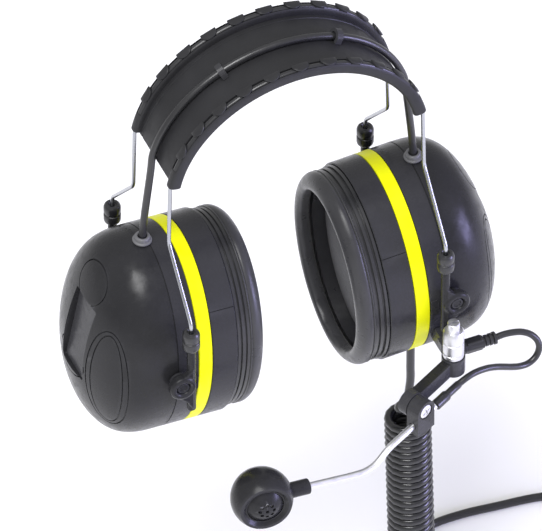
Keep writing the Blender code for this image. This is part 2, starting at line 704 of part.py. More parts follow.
def boom_arm(pivot):
    along, across, sloped = boom_axes()
    hub = revolved(((2.3 * MM, -HUB_HEIGHT), (HUB_RADIUS, -HUB_HEIGHT), (HUB_RADIUS, 0), (2.3 * MM, 0)),
                   28, Matrix.Translation((0, 0, -GAP)), closed=True)
    arm = link_object("boom_arm", hub, "black_plastic", pivot)
    drop = GAP + HUB_HEIGHT / 2 + ARM_START * math.tan(ARM_SLOPE)
    start = along * ARM_START - Vector((0, 0, drop))
    length = (ARM_LENGTH - ARM_START) / math.cos(ARM_SLOPE)
    bar = prism(rectangle(ARM_HEIGHT, ARM_WIDTH), length, aligned(start, sloped))
    combine(arm, "UNION", bar, "bar")
    eye = aligned(arm_end() - POST - across * ARM_WIDTH / 2, across)
    disc = turned(ARM_EYE_RADIUS, ARM_WIDTH, 28, eye)
    combine(arm, "UNION", disc, "end_disc")
    hole = turned(SCREW_HOLE, CUT_LENGTH, 16, eye @ Matrix.Translation((0, 0, -CUT_LENGTH / 2)))
    combine(arm, "DIFFERENCE", hole, "screw_hole")


def boom_clamp(pivot):
    """The block at the arm's end: a screw holds it, and the boom slides through it below."""
    _, across, _ = boom_axes()
    outline = [(-CLAMP_DROP, -CLAMP_RADIUS), (-CLAMP_DROP, CLAMP_RADIUS)]
    for i in range(13):
        turn = math.pi / 2 - math.pi * i / 12
        outline.append((CLAMP_RADIUS * math.cos(turn), CLAMP_RADIUS * math.sin(turn)))
    face = aligned(across * CLAMP_START, across)
    block = prism(outline, CLAMP_END - CLAMP_START, face)
    clamp = link_object("boom_clamp", block, "black_plastic", pivot)
    hole = turned(SCREW_HOLE, CUT_LENGTH, 16, face @ Matrix.Translation((0, 0, -CUT_LENGTH / 2)))
    combine(clamp, "DIFFERENCE", hole, "screw_hole")
    seat = aligned(across * (CLAMP_END - HEAD_DEPTH), across)
    combine(clamp, "DIFFERENCE", turned(HEAD_RADIUS + GAP, 9 * MM, 20, seat), "head_seat")
    middle, back = boom_line()
    line = aligned(middle - arm_end() - back * CUT_LENGTH, back)
    combine(clamp, "DIFFERENCE", turned(BOOM_RADIUS + GAP, 40 * MM, 16, line), "boom_bore")


def clamp_screw(pivot):
    _, across, _ = boom_axes()
    head = CLAMP_END - HEAD_DEPTH + GAP
    profile = ((0, -2.4 * MM), (SCREW_RADIUS, -2.4 * MM), (SCREW_RADIUS, head), (HEAD_RADIUS, head),
               (HEAD_RADIUS, head + 0.9 * MM), (0, head + 0.9 * MM))
    link_object("clamp_screw", revolved(profile, 20, aligned(Vector(), across)), "satin_steel", pivot)


def boom_tube(pivot):
    """The boom: straight through the clamp, then bent level towards the mouth."""
    middle, back = boom_line()
    straight = [middle + back * along * MM for along in (BOOM_BACK / MM, 0.0, -12.0, -22.0)]
    path = smooth_path(straight + in_metres(BOOM_POINTS), 5 * MM)
    tube("boom_tube", [point - middle for point in path], BOOM_RADIUS, "satin_steel", pivot)


def boom_rear_sleeve(pivot):
    """The strain relief at the boom's back end, where the microphone's cable leaves it."""
    _, back = boom_line()
    frame = aligned(back * (BOOM_BACK + GAP), back)
    profile = ((0, 0), (2.6, 0), (2.6, 8.0), (1.9, 8.6), (1.8, 16.5), (0, 16.5))
    link_object("boom_rear_sleeve", revolved(in_millimetres(profile), 16, frame),
                "black_rubber", pivot)


def mic_parts(pivot):
    """The microphone: a ball with a flat mouth, a domed grille in it and the capsule behind."""
    middle, _ = boom_line()
    centre = MIC_CENTRE - middle
    frame = aligned(centre, MIC_FACING)
    rim = math.asin(MIC_FLAT / MIC_RADIUS)
    profile = [(0, -MIC_RADIUS)]
    for i in range(1, 11):
        turn = -math.pi / 2 + (rim + math.pi / 2) * i / 10
        profile.append((MIC_RADIUS * math.cos(turn), MIC_RADIUS * math.sin(turn)))
    mouth = in_millimetres(((10.8, 8.0), (9.4, 6.6), (8.8, 6.6), (8.8, 0.5), (0, 0.5)))
    ball = link_object("mic_housing", revolved(profile + mouth, 32, frame), "black_plastic", pivot)
    start = Vector((NECK_END_X, *MIC_CENTRE.yz)) - Vector((0, 0, NECK_DROP)) - middle
    neck = turned(NECK_RADIUS, (centre - start).length - 12.4 * MM, 20, aligned(start, centre - start))
    combine(ball, "UNION", neck, "neck")
    outer = [(radius, 6.4 + 3.8 * (1 - (radius / 8.5) ** 2)) for radius in (0, 3.0, 5.5, 7.2, 8.5)]
    inner = [(radius, height - 1.1) for radius, height in reversed(outer)]
    cap = revolved(in_millimetres(outer + inner), 28, frame)
    grille = link_object("mic_grille", cap, "black_plastic", pivot)
    for i in range(8):
        turn = 2 * math.pi * i / 8
        spot = Matrix.Translation((3.4 * MM * math.cos(turn), 3.4 * MM * math.sin(turn), 0))
        combine(grille, "DIFFERENCE", turned(0.9 * MM, 14 * MM, 8, frame @ spot), f"hole_{i}")
    combine(grille, "DIFFERENCE", turned(0.9 * MM, 14 * MM, 8, frame), "hole_centre")
    capsule = in_millimetres(((0, 0.8), (5.0, 0.8), (5.0, 5.6), (0, 5.6)))
    link_object("mic_capsule", revolved(capsule, 20, frame), "satin_steel", pivot)


def mic_cable():
    middle, back = boom_line()
    start = middle + back * (BOOM_BACK + 16.5 * MM + 2 * GAP)
    path = smooth_path([start] + in_metres(MIC_CABLE_POINTS), 6 * MM)
    tube("mic_cable", path, THIN_CABLE, "black_rubber")


def main_cord():
    """The cord: a short drop, the curly stretch as one round body, and the lead to the plug."""
    gland_end = cup_frame("left") @ Vector((GLAND_X, 0, CUP_CENTRE_Z - CUP_HALF_HEIGHT - 13.9 * MM))
    start = gland_end - Vector((0, 0, 0.4 * MM))
    down = (COIL_BOTTOM - COIL_TOP).normalized()
    drop = [start, start + Vector((0.2, 0, -12)) * MM, start + Vector((0.5, 0, -26)) * MM,
            COIL_TOP - down * GAP]
    tube("cord_drop", smooth_path(drop, 8 * MM), CORD_RADIUS, "black_rubber")
    coil = turned(COIL_RADIUS, (COIL_BOTTOM - COIL_TOP).length, 28, aligned(COIL_TOP, down))
    link_object("cord_coil", coil, "black_rubber")
    lead = [COIL_BOTTOM + down * GAP] + in_metres(LEAD_POINTS)
    tube("cord_lead", smooth_path(lead, 8 * MM), CORD_RADIUS, "black_rubber")


def cord_plug():
    frame = aligned(PLUG_START, Vector((0, -1, 0)))
    profile = ((0, 0), (3.2, 0), (3.6, 8), (5.4, 12), (6.9, 14), (6.9, 46), (6.2, 48), (0, 48))
    link_object("cord_plug", revolved(in_millimetres(profile), 24, frame), "black_rubber")
    tip = ((0, 48.3), (3.55, 48.3), (3.55, 66), (2.6, 67.4), (2.6, 68.6), (3.5, 70), (1.2, 73), (0, 73))
    link_object("plug_tip", revolved(in_millimetres(tip), 20, frame), "brass")


def build_cup(side_name):
    turn = cup_frame(side_name).to_euler().y
    pivot = pivot_empty(f"{side_name}_cup_pivot", (SIDES[side_name] * PIVOT_X, 0, 0), turn)
    outer_shell(side_name, pivot)
    name_plate(side_name, pivot)
    band_and_inner_shell(side_name, pivot)
    cushion_ring(side_name, pivot)
    ear_cushion(side_name, pivot)
    ear_foam(side_name, pivot)
    speaker_parts(side_name, pivot)
    foam_liner(side_name, pivot)
    pivot_pins(side_name, pivot)
    cable_grommet(side_name, pivot)
    slide = pivot_empty(f"{side_name}_slide", (SIDES[side_name] * STEM_X, 0, 0))
    for end_name in ENDS:
        fastener(side_name, end_name, slide)
        collar(side_name, end_name, slide)
    return pivot


def build_headband():
    strap()
    for end_name in ENDS:
        spring_wire(end_name)
        edge_sleeve(end_name)
    for side_name in SIDES:
        cable_clip(side_name)
    headband_cable()


def build_boom(pivot):
    boom_bracket(pivot)
    boom_post(pivot)
    mic_plug(pivot)
    boom_arm(pivot_empty("arm_pivot", POST))
    clamp_pivot = pivot_empty("clamp_pivot", arm_end())
    boom_clamp(clamp_pivot)
    clamp_screw(clamp_pivot)
    slide = pivot_empty("boom_slide", boom_line()[0])
    boom_tube(slide)
    boom_rear_sleeve(slide)
    mic_parts(slide)
    mic_cable()


def main():
    clear_scene()
    build_headband()
    build_cup("right")
    left_pivot = build_cup("left")
    build_boom(left_pivot)
    cord_gland(left_pivot)
    main_cord()
    cord_plug()


main()
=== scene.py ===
"""Looks of the aviation headset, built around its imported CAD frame.

Shapes are worked out in millimetres in the frame's axes and scaled to metres when a mesh is made:
+X is the wearer's left, -Y is the way the wearer faces, +Z is up.
"""

from math import asin, cos, degrees, pi, radians, sin, tan

import bmesh
import bpy
from mathutils import Matrix, Vector


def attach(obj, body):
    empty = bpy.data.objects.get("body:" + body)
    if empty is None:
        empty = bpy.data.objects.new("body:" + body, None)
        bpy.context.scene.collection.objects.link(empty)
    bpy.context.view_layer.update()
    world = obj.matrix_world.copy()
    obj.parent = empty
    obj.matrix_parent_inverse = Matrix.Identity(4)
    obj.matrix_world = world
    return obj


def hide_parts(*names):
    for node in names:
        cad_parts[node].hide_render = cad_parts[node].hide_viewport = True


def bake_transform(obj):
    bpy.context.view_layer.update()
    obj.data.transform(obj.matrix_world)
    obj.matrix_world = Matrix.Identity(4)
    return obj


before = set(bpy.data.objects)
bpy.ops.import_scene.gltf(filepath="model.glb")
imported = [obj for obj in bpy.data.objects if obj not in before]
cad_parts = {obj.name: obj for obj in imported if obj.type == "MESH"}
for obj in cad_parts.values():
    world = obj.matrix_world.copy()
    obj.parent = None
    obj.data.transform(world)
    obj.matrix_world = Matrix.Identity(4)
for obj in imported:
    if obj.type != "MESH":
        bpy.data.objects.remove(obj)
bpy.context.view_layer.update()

MM = 0.001
UP = Vector((0, 0, 1))
GAP = 0.3
SIDES = {"left": 1, "right": -1}
ENDS = {"front": -1, "rear": 1}
TURNED_STEPS = 48

# Camera: a long lens stands in for a parallel view.
VIEW_TOWARDS_CAMERA = Vector((-0.2859, -0.6513, 0.7029))
VIEW_TARGET = Vector((-1.56, 5.36, 4.33))
VIEW_WIDTH = 252.1
LENS = 1100.0
SENSOR = 36.0

# Ear cups. Stations along a cup run outboard from its pivot plane.
PIVOT_X = 69.3
CUP_HALF_WIDTH = 41.6
CUP_HALF_HEIGHT = 53.6
CUP_CENTRE_Z = -2.5
CUP_TILT = radians(-2.9)
WALL = 2.5
DOME_DEPTH = 36.2
DOME_DROP = 8.0
DOME_SHIFT = 2.0
DOME_PROFILE_POWER = 3.34
DOME_EDGE_POWER = 1.51
CAVITY_DEPTH = 28.0
BAND_OUTER = -10.9
BAND_INNER = -17.7
FLANGE_OUTER = -28.6
FLANGE_INNER = -30.6
CUSHION_BACK = -37.9
EAR_INSET = 8.4
WELT_STATION = (CUSHION_BACK - 0.25, 1.55)
WELT_RADIUS = 0.42
CUSHION_STEPS = 128
SWELL = 0.9
FOAM_GAP = 0.6
FOAM_EDGE = -31.0
FOAM_SWELL = 0.9
FOAM_RING_WIDTH = 2.4
SIMULATION_SCALE = 10.0
SIMULATION_FRAMES = 16
CLOTH = {"quality": 6, "mass": 0.1, "tension_stiffness": 8, "compression_stiffness": 8,
         "bending_stiffness": 0.8, "vertex_group_mass": "held", "use_pressure": True,
         "uniform_pressure_force": 4}
RING_STEPS = 120
GROMMET_X = 1.9
GROMMET_Y = 0.8
GLAND_X = -5.2
CABLE_HOLE = 2.3
GLAND_HOLE = 2.9

# Recess for the blank name plate, and the moulded outlines round it.
PLATE_WIDTH = 20.4
PLATE_HEIGHT = 41.9
PLATE_CENTRE = Vector((29.6, -0.6, 3.3))
PLATE_LEAN = radians(-8.1)
DISC_HALF_WIDTH = 11.9
DISC_HALF_HEIGHT = 9.6
DISC_CENTRES = ((0.6, 32.6), (0.1, -10.3))
OVAL_CENTRE = Vector((25.7, -22.7, -7.5))
OVAL_FACING = Vector((0.80, -0.60, -0.05))
OVALS = ((29.0, 13.0), (27.1, 9.9))
GROOVE_WIDTH = 0.65
GROOVE_DEPTH = 0.55
GROOVE_FROM = -6.0
GROOVE_TO = 14.0
GROOVE_STEPS = 72
DISC_X = 22
PARTING_ANGLES = (144, 232)
PARTING_WIDTH = 0.35
PARTING_DEPTH = 0.4
PLATE_CORNER = 1.2
CUT_LENGTH = 20
STOP_BOSS_AT = (-8.6, -4.7)
STOP_BOSS_SIZE = (9.2, 4.0)
STOP_BOSS_HEIGHT = 1.5
STOP_BOSS_SUNK = 0.9

# Headband.
WIRE_ARC = 64.4
WIRE_DROP = 3.2
ARCH_CENTRE_Z = 91.0
WIRE_ARC_START = 9.5
STRAP_START = 11.0
STRAP_OUTER = 63.0
STRAP_DROP = 4.6
STRAP_THICKNESS = 1.8
STRAP_TUCK = 1.3
SLEEVE_Y = 20.5
SLEEVE_HALF_WIDTH = 2.6
SLEEVE_HALF_DEPTH = 3.2
SLEEVE_CENTRE = 62.9
SLEEVE_CLOSED_TO = 20.0
BEAD_POWER = 3.0
BEAD_END_SIZE = 0.72
SLOT_HALF_WIDTH = 1.75
SHEATH_RADIUS = 1.5
WIRE_RADIUS = 0.95
FOOT_Z = 37.0
BEND_Z = 67.3
WIRE_END_Z = -6.0
WIRE_BEND = 3.0
TAB_COUNT = 11
TAB_FIRST = 26.5
TAB_LAST = 150.0
TAB_HALF_LENGTH = 4.1
TAB_REACH = 3.3
TAB_BASE = 0.9
# Levels of a tab from its foot to its top: its size there, and the depth outside the edge's middle.
TAB_LEVELS = ((0.9, 1.6), (0.9, 3.25), (1.0, 3.35), (1.0, 3.75), (0.94, 3.95), (0.5, 4.0))
CREASE_INSET = 3.6
CREASE_DEPTH = 0.35

# Fasteners.
STEM_X = 64.3
STEM_Y = 46.0
EYE_RIM = 4.9
EYE_RIM_RADIUS = 1.7
EYE_MIDDLE_Y = 47.9
EYE_STEPS = 40
MOULDING_VOXEL = 0.36

# Boom.
POST = Vector((64.6, -55.0, -25.8))
POST_SLOT_SIZE = (9.0, 0.9)
POST_SLOT_FLOOR = 19.4
HUB_HEIGHT = 9.2
ARM_LENGTH = 29.6
ARM_HEADING = radians(203.9)
ARM_SLOPE = radians(8.0)
CLAMP_START = 2.8
CLAMP_END = 9.8
HEAD_DEPTH = 1.4
CROSS_ANGLES = (20, 110)
BOOM_DROP = 7.0
BOOM_SLOPE = radians(7.5)
BOOM_RADIUS = 1.65
BOOM_BACK = 10.0
BOOM_POINTS = ((12.4, -85.2, -48.0), (6.5, -87.0, -49.0), (0.4, -87.5, -48.9), (-10.7, -87.5, -47.9),
               (-23.1, -87.5, -46.6))
MIC_CENTRE = Vector((-47.0, -87.5, -44.6))
MIC_RADIUS = 14.7
MIC_FLAT = 8.0
MIC_FACING = Vector((-0.14, -0.99, 0.03)).normalized()
GRILLE_RADIUS = 8.5
GRILLE_CIRCLE = 3.4
GRILLE_HOLES = 8
GRILLE_HOLE = 0.9
NECK_END_X = -23.4
NECK_RADIUS = 3.8
NECK_INSIDE = 12.4
NECK_DROP = 1.9

# Cables: the same routes as the CAD source.
THIN_CABLE = 1.6
BAND_CABLE = 1.8
CORD_RADIUS = 2.05
CORD_TOP = 16.0
GLAND_LENGTH = 13.9
COIL_TOP = Vector((66.3, 0.0, -113.5))
COIL_BOTTOM = Vector((68.8, 0.0, -200.0))
HELIX_RADIUS = 9.25
HELIX_PITCH = 4.16
HELIX_TURN_POINTS = 16
BAND_CABLE_POINTS = (
    (68.7, 0.8, 49.5), (68.2, 0.7, 58.0), (67.3, 0.5, 68.5), (66.3, 0.3, 78.0), (65.3, 0.1, 87.0),
    (64.3, 0.0, 96.0),
)
MIC_PLUG_START = Vector((71.8, -45.0, -33.9))
MIC_CABLE_POINTS = (
    (68.4, -61.0, -37.2), (72.6, -59.8, -36.9), (77.0, -58.6, -37.6),
    (81.5, -57.4, -39.0), (86.0, -56.4, -41.0), (90.4, -55.4, -43.6), (95.0, -54.2, -46.6),
    (100.0, -53.0, -49.2), (105.0, -52.0, -49.9), (109.0, -51.0, -47.8), (110.9, -50.0, -43.8),
    (110.3, -48.8, -39.8), (107.6, -47.4, -36.4), (103.8, -46.2, -34.4), (99.6, -45.4, -33.7),
    (95.0, -45.0, -33.5), (91.3, -45.0, -33.9),
)
LEAD_POINTS = (
    (69.2, 0.4, -212.0), (70.4, 2.6, -225.0), (72.2, 7.4, -237.0),
    (74.4, 14.6, -246.2), (77.0, 23.4, -251.0), (80.4, 32.0, -252.7), (86.0, 40.6, -252.9),
    (94.0, 47.6, -252.9), (104.5, 51.1, -252.9), (120.0, 51.4, -252.9), (137.0, 49.6, -252.9),
    (154.6, 47.6, -252.9), (168.0, 43.8, -252.9), (177.0, 36.6, -252.9), (182.0, 26.4, -252.9),
    (184.0, 14.0, -251.6), (184.4, 4.0, -249.0), (184.5, -5.0, -247.9),
)
PLUG_START = Vector((184.5, -5.3, -247.9))
FLOOR_Z = -255.0
FLOOR_HALF_SIZE = 12000
COIL_END = 3.0
COIL_EASE_POINTS = 12
COIL_EASE_DROP = 8.5
BAND_CABLE_ARC_START = 13
BAND_CABLE_FIXED_FROM = 93
BAND_CABLE_LEG_TO = 94.6
BAND_CABLE_LOW_TO = 76.6
BAND_CABLE_HIGH_FROM = 75
MIC_CABLE_CUTS = (0.14, 0.52)

# Turned pieces: outlines of (radius, height) points.
PIN_OUTLINE = ((0, 0), (4.2, 0), (4.4, 0.2), (4.4, 1.3), (4.2, 1.5), (3.0, 1.5), (3.0, 6.5), (2.7, 6.8),
               (1.9, 6.8), (1.6, 6.4), (0, 6.4))
GROMMET_OUTLINE = ((4.3, 0.0), (4.6, 0.3), (4.6, 0.9), (4.3, 1.2), (3.7, 1.4), (3.7, 2.6), (3.5, 3.0),
                   (3.1, 3.3), (2.5, 3.3), (2.2, 3.0), (2.2, 0.0))
BOOT_OUTLINE = ((3.4, 21.9), (3.9, 22.6), (4.1, 23.4), (4.1, 26.6), (3.95, 26.9), (3.7, 27.1),
                (3.7, 27.8), (3.95, 28.0), (4.1, 28.3), (4.1, 31.0), (3.8, 32.0), (3.2, 32.7),
                (2.1, 32.7), (1.7, 32.1), (1.25, 32.1), (1.25, 21.9))
POST_OUTLINE = ((0, -9.4), (1.8, -9.4), (2.0, -9.2), (2.0, 0), (4.7, 0), (5.0, 0.3), (5.0, 2.3),
                (4.75, 2.5), (4.75, 3.0), (5.0, 3.2), (5.0, 9.3), (4.8, 9.45), (4.8, 9.75), (5.0, 9.9),
                (5.0, 15.3), (4.3, 16.3), (2.9, 16.3), (2.9, 21.0), (2.6, 21.3), (0, 21.3))
REAR_BOOT_OUTLINE = ((0, 0), (2.4, 0), (2.6, 0.2), (2.6, 7.6), (2.3, 8.2), (1.95, 8.6), (1.95, 16.2),
                     (1.75, 16.5), (0, 16.5))
MOUTH_OUTLINE = ((10.9, 8.0), (10.6, 7.7), (9.4, 6.6), (8.8, 6.6), (8.8, 0.5), (0, 0.5))
TIP_OUTLINE = ((0, 48.3), (3.55, 48.3), (3.55, 54.0), (3.45, 54.1), (3.45, 54.7), (3.55, 54.8),
               (3.55, 60.0), (3.45, 60.1), (3.45, 60.7), (3.55, 60.8), (3.55, 66), (3.2, 66.8),
               (2.6, 67.4), (2.6, 68.4), (3.4, 69.6), (3.5, 70.2), (2.6, 71.8), (1.2, 73), (0, 73))


# ---- meshes

def shifted(x, y, z):
    return Matrix.Translation((x, y, z))


def full_turn(count):
    """Evenly spaced angles round a circle."""
    return [2 * pi * i / count for i in range(count)]


def place(points, matrix):
    return [matrix @ Vector(point) for point in points]


def finished_mesh(mesh, sharp=35.0):
    """The edited mesh in metres, smooth except where its faces meet at more than the sharp angle."""
    bmesh.ops.recalc_face_normals(mesh, faces=mesh.faces)
    bmesh.ops.scale(mesh, vec=(MM, MM, MM), verts=mesh.verts)
    data = bpy.data.meshes.new("shape")
    mesh.to_mesh(data)
    mesh.free()
    shade(data, sharp)
    return data


def shade(data, sharp=35.0):
    data.shade_smooth()
    data.set_sharp_from_angle(angle=radians(sharp))


def add_rings(mesh, rings, closed=False):
    """Adds a surface through rings of points. A ring of one point is a pole, and end rings are capped."""
    made = [[mesh.verts.new(point) for point in ring] for ring in rings]
    pairs = list(zip(made, made[1:]))
    if closed:
        pairs.append((made[-1], made[0]))
    for low, high in pairs:
        count = max(len(low), len(high))
        for i in range(count):
            j = (i + 1) % count
            if len(low) == 1:
                corners = (low[0], high[j], high[i])
            elif len(high) == 1:
                corners = (low[i], low[j], high[0])
            else:
                corners = (low[i], low[j], high[j], high[i])
            mesh.faces.new(corners)
    if not closed:
        for ring in (made[0], made[-1]):
            if len(ring) > 1:
                mesh.faces.new(ring)


def ring_mesh(rings, closed=False, sharp=35.0):
    mesh = bmesh.new()
    add_rings(mesh, rings, closed)
    return finished_mesh(mesh, sharp)


def revolved(profile, matrix, closed=False, steps=TURNED_STEPS, sharp=35.0):
    """A turned shape. The profile is (radius, height) pairs, turned about the matrix's Z."""
    rings = []
    for radius, height in profile:
        ring = [(radius * cos(t), radius * sin(t), height) for t in full_turn(steps)]
        if radius == 0:
            ring = [(0, 0, height)]
        rings.append(place(ring, matrix))
    return ring_mesh(rings, closed, sharp)


def aligned(origin, axis, side=UP):
    """A frame at origin with its Z along axis and its X as near as possible to side."""
    z = axis.normalized()
    if abs(z.dot(side.normalized())) > 0.99:
        side = Vector((1, 0, 0))
    x = (side - z * side.dot(z)).normalized()
    y = z.cross(x)
    turn = Matrix((x, y, z)).transposed().to_4x4()
    return Matrix.Translation(origin) @ turn


def drill(radius, matrix, steps=TURNED_STEPS):
    """A cylinder that cuts a hole along the matrix's Z."""
    return revolved(((0, 0), (radius, 0), (radius, CUT_LENGTH), (0, CUT_LENGTH)), matrix, steps=steps)


def prism(outline, depth, matrix):
    rings = [[(x, y, level) for x, y in outline] for level in (0.0, depth)]
    return ring_mesh([place(ring, matrix) for ring in rings])


def rounded_rectangle(width, height, radius, steps=6):
    """Outline points of a rectangle with round corners, centred on the origin."""
    points = []
    for quarter, (right, up) in enumerate(((1, 1), (-1, 1), (-1, -1), (1, -1))):
        x, y = right * (width / 2 - radius), up * (height / 2 - radius)
        for i in range(steps + 1):
            turn = pi / 2 * (quarter + i / steps)
            points.append((x + radius * cos(turn), y + radius * sin(turn)))
    return points


def smooth_path(points, spacing):
    """Points at an even spacing on a smooth curve through the given points."""
    dense = []
    count = len(points)
    for i in range(count - 1):
        before = points[max(i - 1, 0)]
        start, end = points[i], points[i + 1]
        after = points[min(i + 2, count - 1)]
        for step in range(16):
            t = step / 16
            dense.append(0.5 * (
                2 * start + (end - before) * t
                + (2 * before - 5 * start + 4 * end - after) * t**2
                + (3 * start - before - 3 * end + after) * t**3
            ))
    dense.append(points[-1])
    return even_path(dense, spacing)


def even_path(dense, spacing):
    """The same line with its points at an even spacing."""
    lengths = [0.0]
    for a, b in zip(dense, dense[1:]):
        lengths.append(lengths[-1] + (b - a).length)
    total = max(2, round(lengths[-1] / spacing))
    path, k = [], 0
    for i in range(total + 1):
        target = lengths[-1] * i / total
        while k < len(dense) - 2 and lengths[k + 1] < target:
            k += 1
        share = (target - lengths[k]) / (lengths[k + 1] - lengths[k])
        path.append(dense[k].lerp(dense[k + 1], min(share, 1.0)))
    return path


def filleted(points, radius, steps=6):
    """A polyline whose inner corners are rounded."""
    path = [points[0]]
    for before, corner, after in zip(points, points[1:], points[2:]):
        start = corner + (before - corner).normalized() * radius
        end = corner + (after - corner).normalized() * radius
        for i in range(steps + 1):
            t = i / steps
            path.append(start * (1 - t) ** 2 + corner * 2 * t * (1 - t) + end * t**2)
    path.append(points[-1])
    return path


def tube_mesh(path, radius, sides=18):
    """A round tube along the path, turned as little as possible from point to point."""
    rings = []
    tangent = (path[1] - path[0]).normalized()
    side = aligned(path[0], tangent).to_3x3().col[0]
    for i, point in enumerate(path):
        ahead = path[min(i + 1, len(path) - 1)] - path[max(i - 1, 0)]
        tangent = ahead.normalized()
        side = (side - tangent * side.dot(tangent)).normalized()
        other = tangent.cross(side)
        rings.append([point + (side * cos(t) + other * sin(t)) * radius for t in full_turn(sides)])
    return ring_mesh(rings, sharp=60.0)


def loop_tube(loop, radius, sides=10):
    """A round tube round a closed loop of points."""
    centre = sum(loop, Vector()) / len(loop)
    rings = []
    for i, point in enumerate(loop):
        tangent = (loop[(i + 1) % len(loop)] - loop[i - 1]).normalized()
        outward = (point - centre).normalized()
        outward = (outward - tangent * outward.dot(tangent)).normalized()
        other = tangent.cross(outward)
        rings.append([point + (outward * cos(t) + other * sin(t)) * radius for t in full_turn(sides)])
    return ring_mesh(rings, closed=True, sharp=60.0)


def in_vectors(points):
    return [Vector(point) for point in points]


def mirrored(path):
    """The same path on the other side of the head, back from its end to its start."""
    return [Vector((-point.x, point.y, point.z)) for point in reversed(path)]


def new_object(name, data):
    obj = bpy.data.objects.new(name, data)
    bpy.context.scene.collection.objects.link(obj)
    return obj


def add_modifier(obj, kind, **settings):
    modifier = obj.modifiers.new(kind.lower(), kind)
    for name, value in settings.items():
        setattr(modifier, name, value)
    return modifier


def evaluated_mesh(obj):
    bpy.context.view_layer.update()
    graph = bpy.context.evaluated_depsgraph_get()
    return bpy.data.meshes.new_from_object(obj.evaluated_get(graph))


def boolean(data, tool, operation="DIFFERENCE", sharp=35.0):
    """The mesh after a cut, join or intersection with the tool's mesh."""
    body, cutter = new_object("scratch", data), new_object("scratch", tool)
    add_modifier(body, "BOOLEAN", operation=operation, solver="EXACT", object=cutter)
    made = evaluated_mesh(body)
    for obj in (body, cutter):
        bpy.data.objects.remove(obj, do_unlink=True)
    shade(made, sharp)
    return made


def join_meshes(meshes, sharp=35.0):
    joined = bmesh.new()
    for data in meshes:
        joined.from_mesh(data)
    made = bpy.data.meshes.new("shape")
    joined.to_mesh(made)
    joined.free()
    shade(made, sharp)
    return made


# ---- materials

MIDDLE_RANGE = (0.3, 0.7)
EDGE_RANGE = (0.52, 0.62)
EDGE_WEAR = 0.6
RIPPLE_SCALE = 90.0


def add_node(tree, kind, numbers, wires, **settings):
    """A shader node with its settings, the numbers typed into its inputs, and the wires that reach it."""
    node = tree.nodes.new(kind)
    for name, value in settings.items():
        setattr(node, name, value)
    for name, value in numbers.items():
        node.inputs[name].default_value = value
    for name, source in wires.items():
        tree.links.new(source, node.inputs[name])
    return node.outputs


def coordinates(tree, stretch):
    """Object coordinates, scaled along each axis."""
    coords = add_node(tree, "ShaderNodeTexCoord", {}, {})["Object"]
    return add_node(tree, "ShaderNodeMapping", {"Scale": stretch}, {"Vector": coords})["Vector"]


def noise(tree, vector, scale, detail=3.0):
    return add_node(tree, "ShaderNodeTexNoise", {"Scale": scale, "Detail": detail}, {"Vector": vector})["Fac"]


def cells(tree, vector, scale):
    return add_node(tree, "ShaderNodeTexVoronoi", {"Scale": scale}, {"Vector": vector},
                    feature="DISTANCE_TO_EDGE")["Distance"]


def ramp(tree, factor, low, high):
    """A blend from one colour to the other across the middle of the factor's range."""
    colour = add_node(tree, "ShaderNodeValToRGB", {}, {"Fac": factor})["Color"]
    elements = colour.node.color_ramp.elements
    elements[0].position, elements[1].position = MIDDLE_RANGE
    elements[0].color, elements[1].color = (*low, 1), (*high, 1)
    return colour


def mapped(tree, value, low, high, out_low, out_high):
    numbers = {"From Min": low, "From Max": high, "To Min": out_low, "To Max": out_high}
    return add_node(tree, "ShaderNodeMapRange", numbers, {"Value": value})["Result"]


def bump(tree, height, depth_mm, strength, **normal):
    numbers = {"Distance": depth_mm * MM, "Strength": strength}
    return add_node(tree, "ShaderNodeBump", numbers, {"Height": height, **normal})["Normal"]


def worn_edges(tree, colour, edge_colour):
    """Mixes in a paler colour where the surface turns sharply outward."""
    pointiness = add_node(tree, "ShaderNodeNewGeometry", {}, {})["Pointiness"]
    edge = mapped(tree, pointiness, *EDGE_RANGE, 0.0, EDGE_WEAR)
    return add_node(tree, "ShaderNodeMix", {"B": (*edge_colour, 1)}, {"Factor": edge, "A": colour},
                    data_type="RGBA")["Result"]


def scaled(colour, share):
    return tuple(min(channel * share, 1.0) for channel in colour)


def finish(name, colour, roughness, metallic=0.0, mottle=0.15, mottle_scale=45.0, grain="noise",
           grain_scale=1400.0, grain_depth=0.03, ripple=0.0, stretch=(1, 1, 1), spread=0.08, edge=None,
           **shader_values):
    """A procedural material: mottled colour, uneven roughness, and a fine grain in the surface."""
    made = bpy.data.materials.new(name)
    made.use_nodes = True
    tree = made.node_tree
    shader = tree.nodes["Principled BSDF"]
    shader.inputs["Metallic"].default_value = metallic
    for key, value in shader_values.items():
        shader.inputs[key.replace("_", " ").title().replace("Ior", "IOR")].default_value = value
    vector = coordinates(tree, stretch)
    tone = ramp(tree, noise(tree, vector, mottle_scale), scaled(colour, 1 - mottle),
                scaled(colour, 1 + mottle))
    if edge is not None:
        tone = worn_edges(tree, tone, edge)
    fine = noise(tree, vector, grain_scale) if grain == "noise" else cells(tree, vector, grain_scale)
    uneven = mapped(tree, noise(tree, vector, mottle_scale * 6), *MIDDLE_RANGE, roughness - spread,
                    roughness + spread)
    normal = bump(tree, fine, grain_depth, 0.6)
    if ripple:
        normal = bump(tree, noise(tree, vector, RIPPLE_SCALE, 1.0), ripple, 0.5, Normal=normal)
    for name, source in (("Base Color", tone), ("Roughness", uneven), ("Normal", normal)):
        tree.links.new(source, shader.inputs[name])
    return made


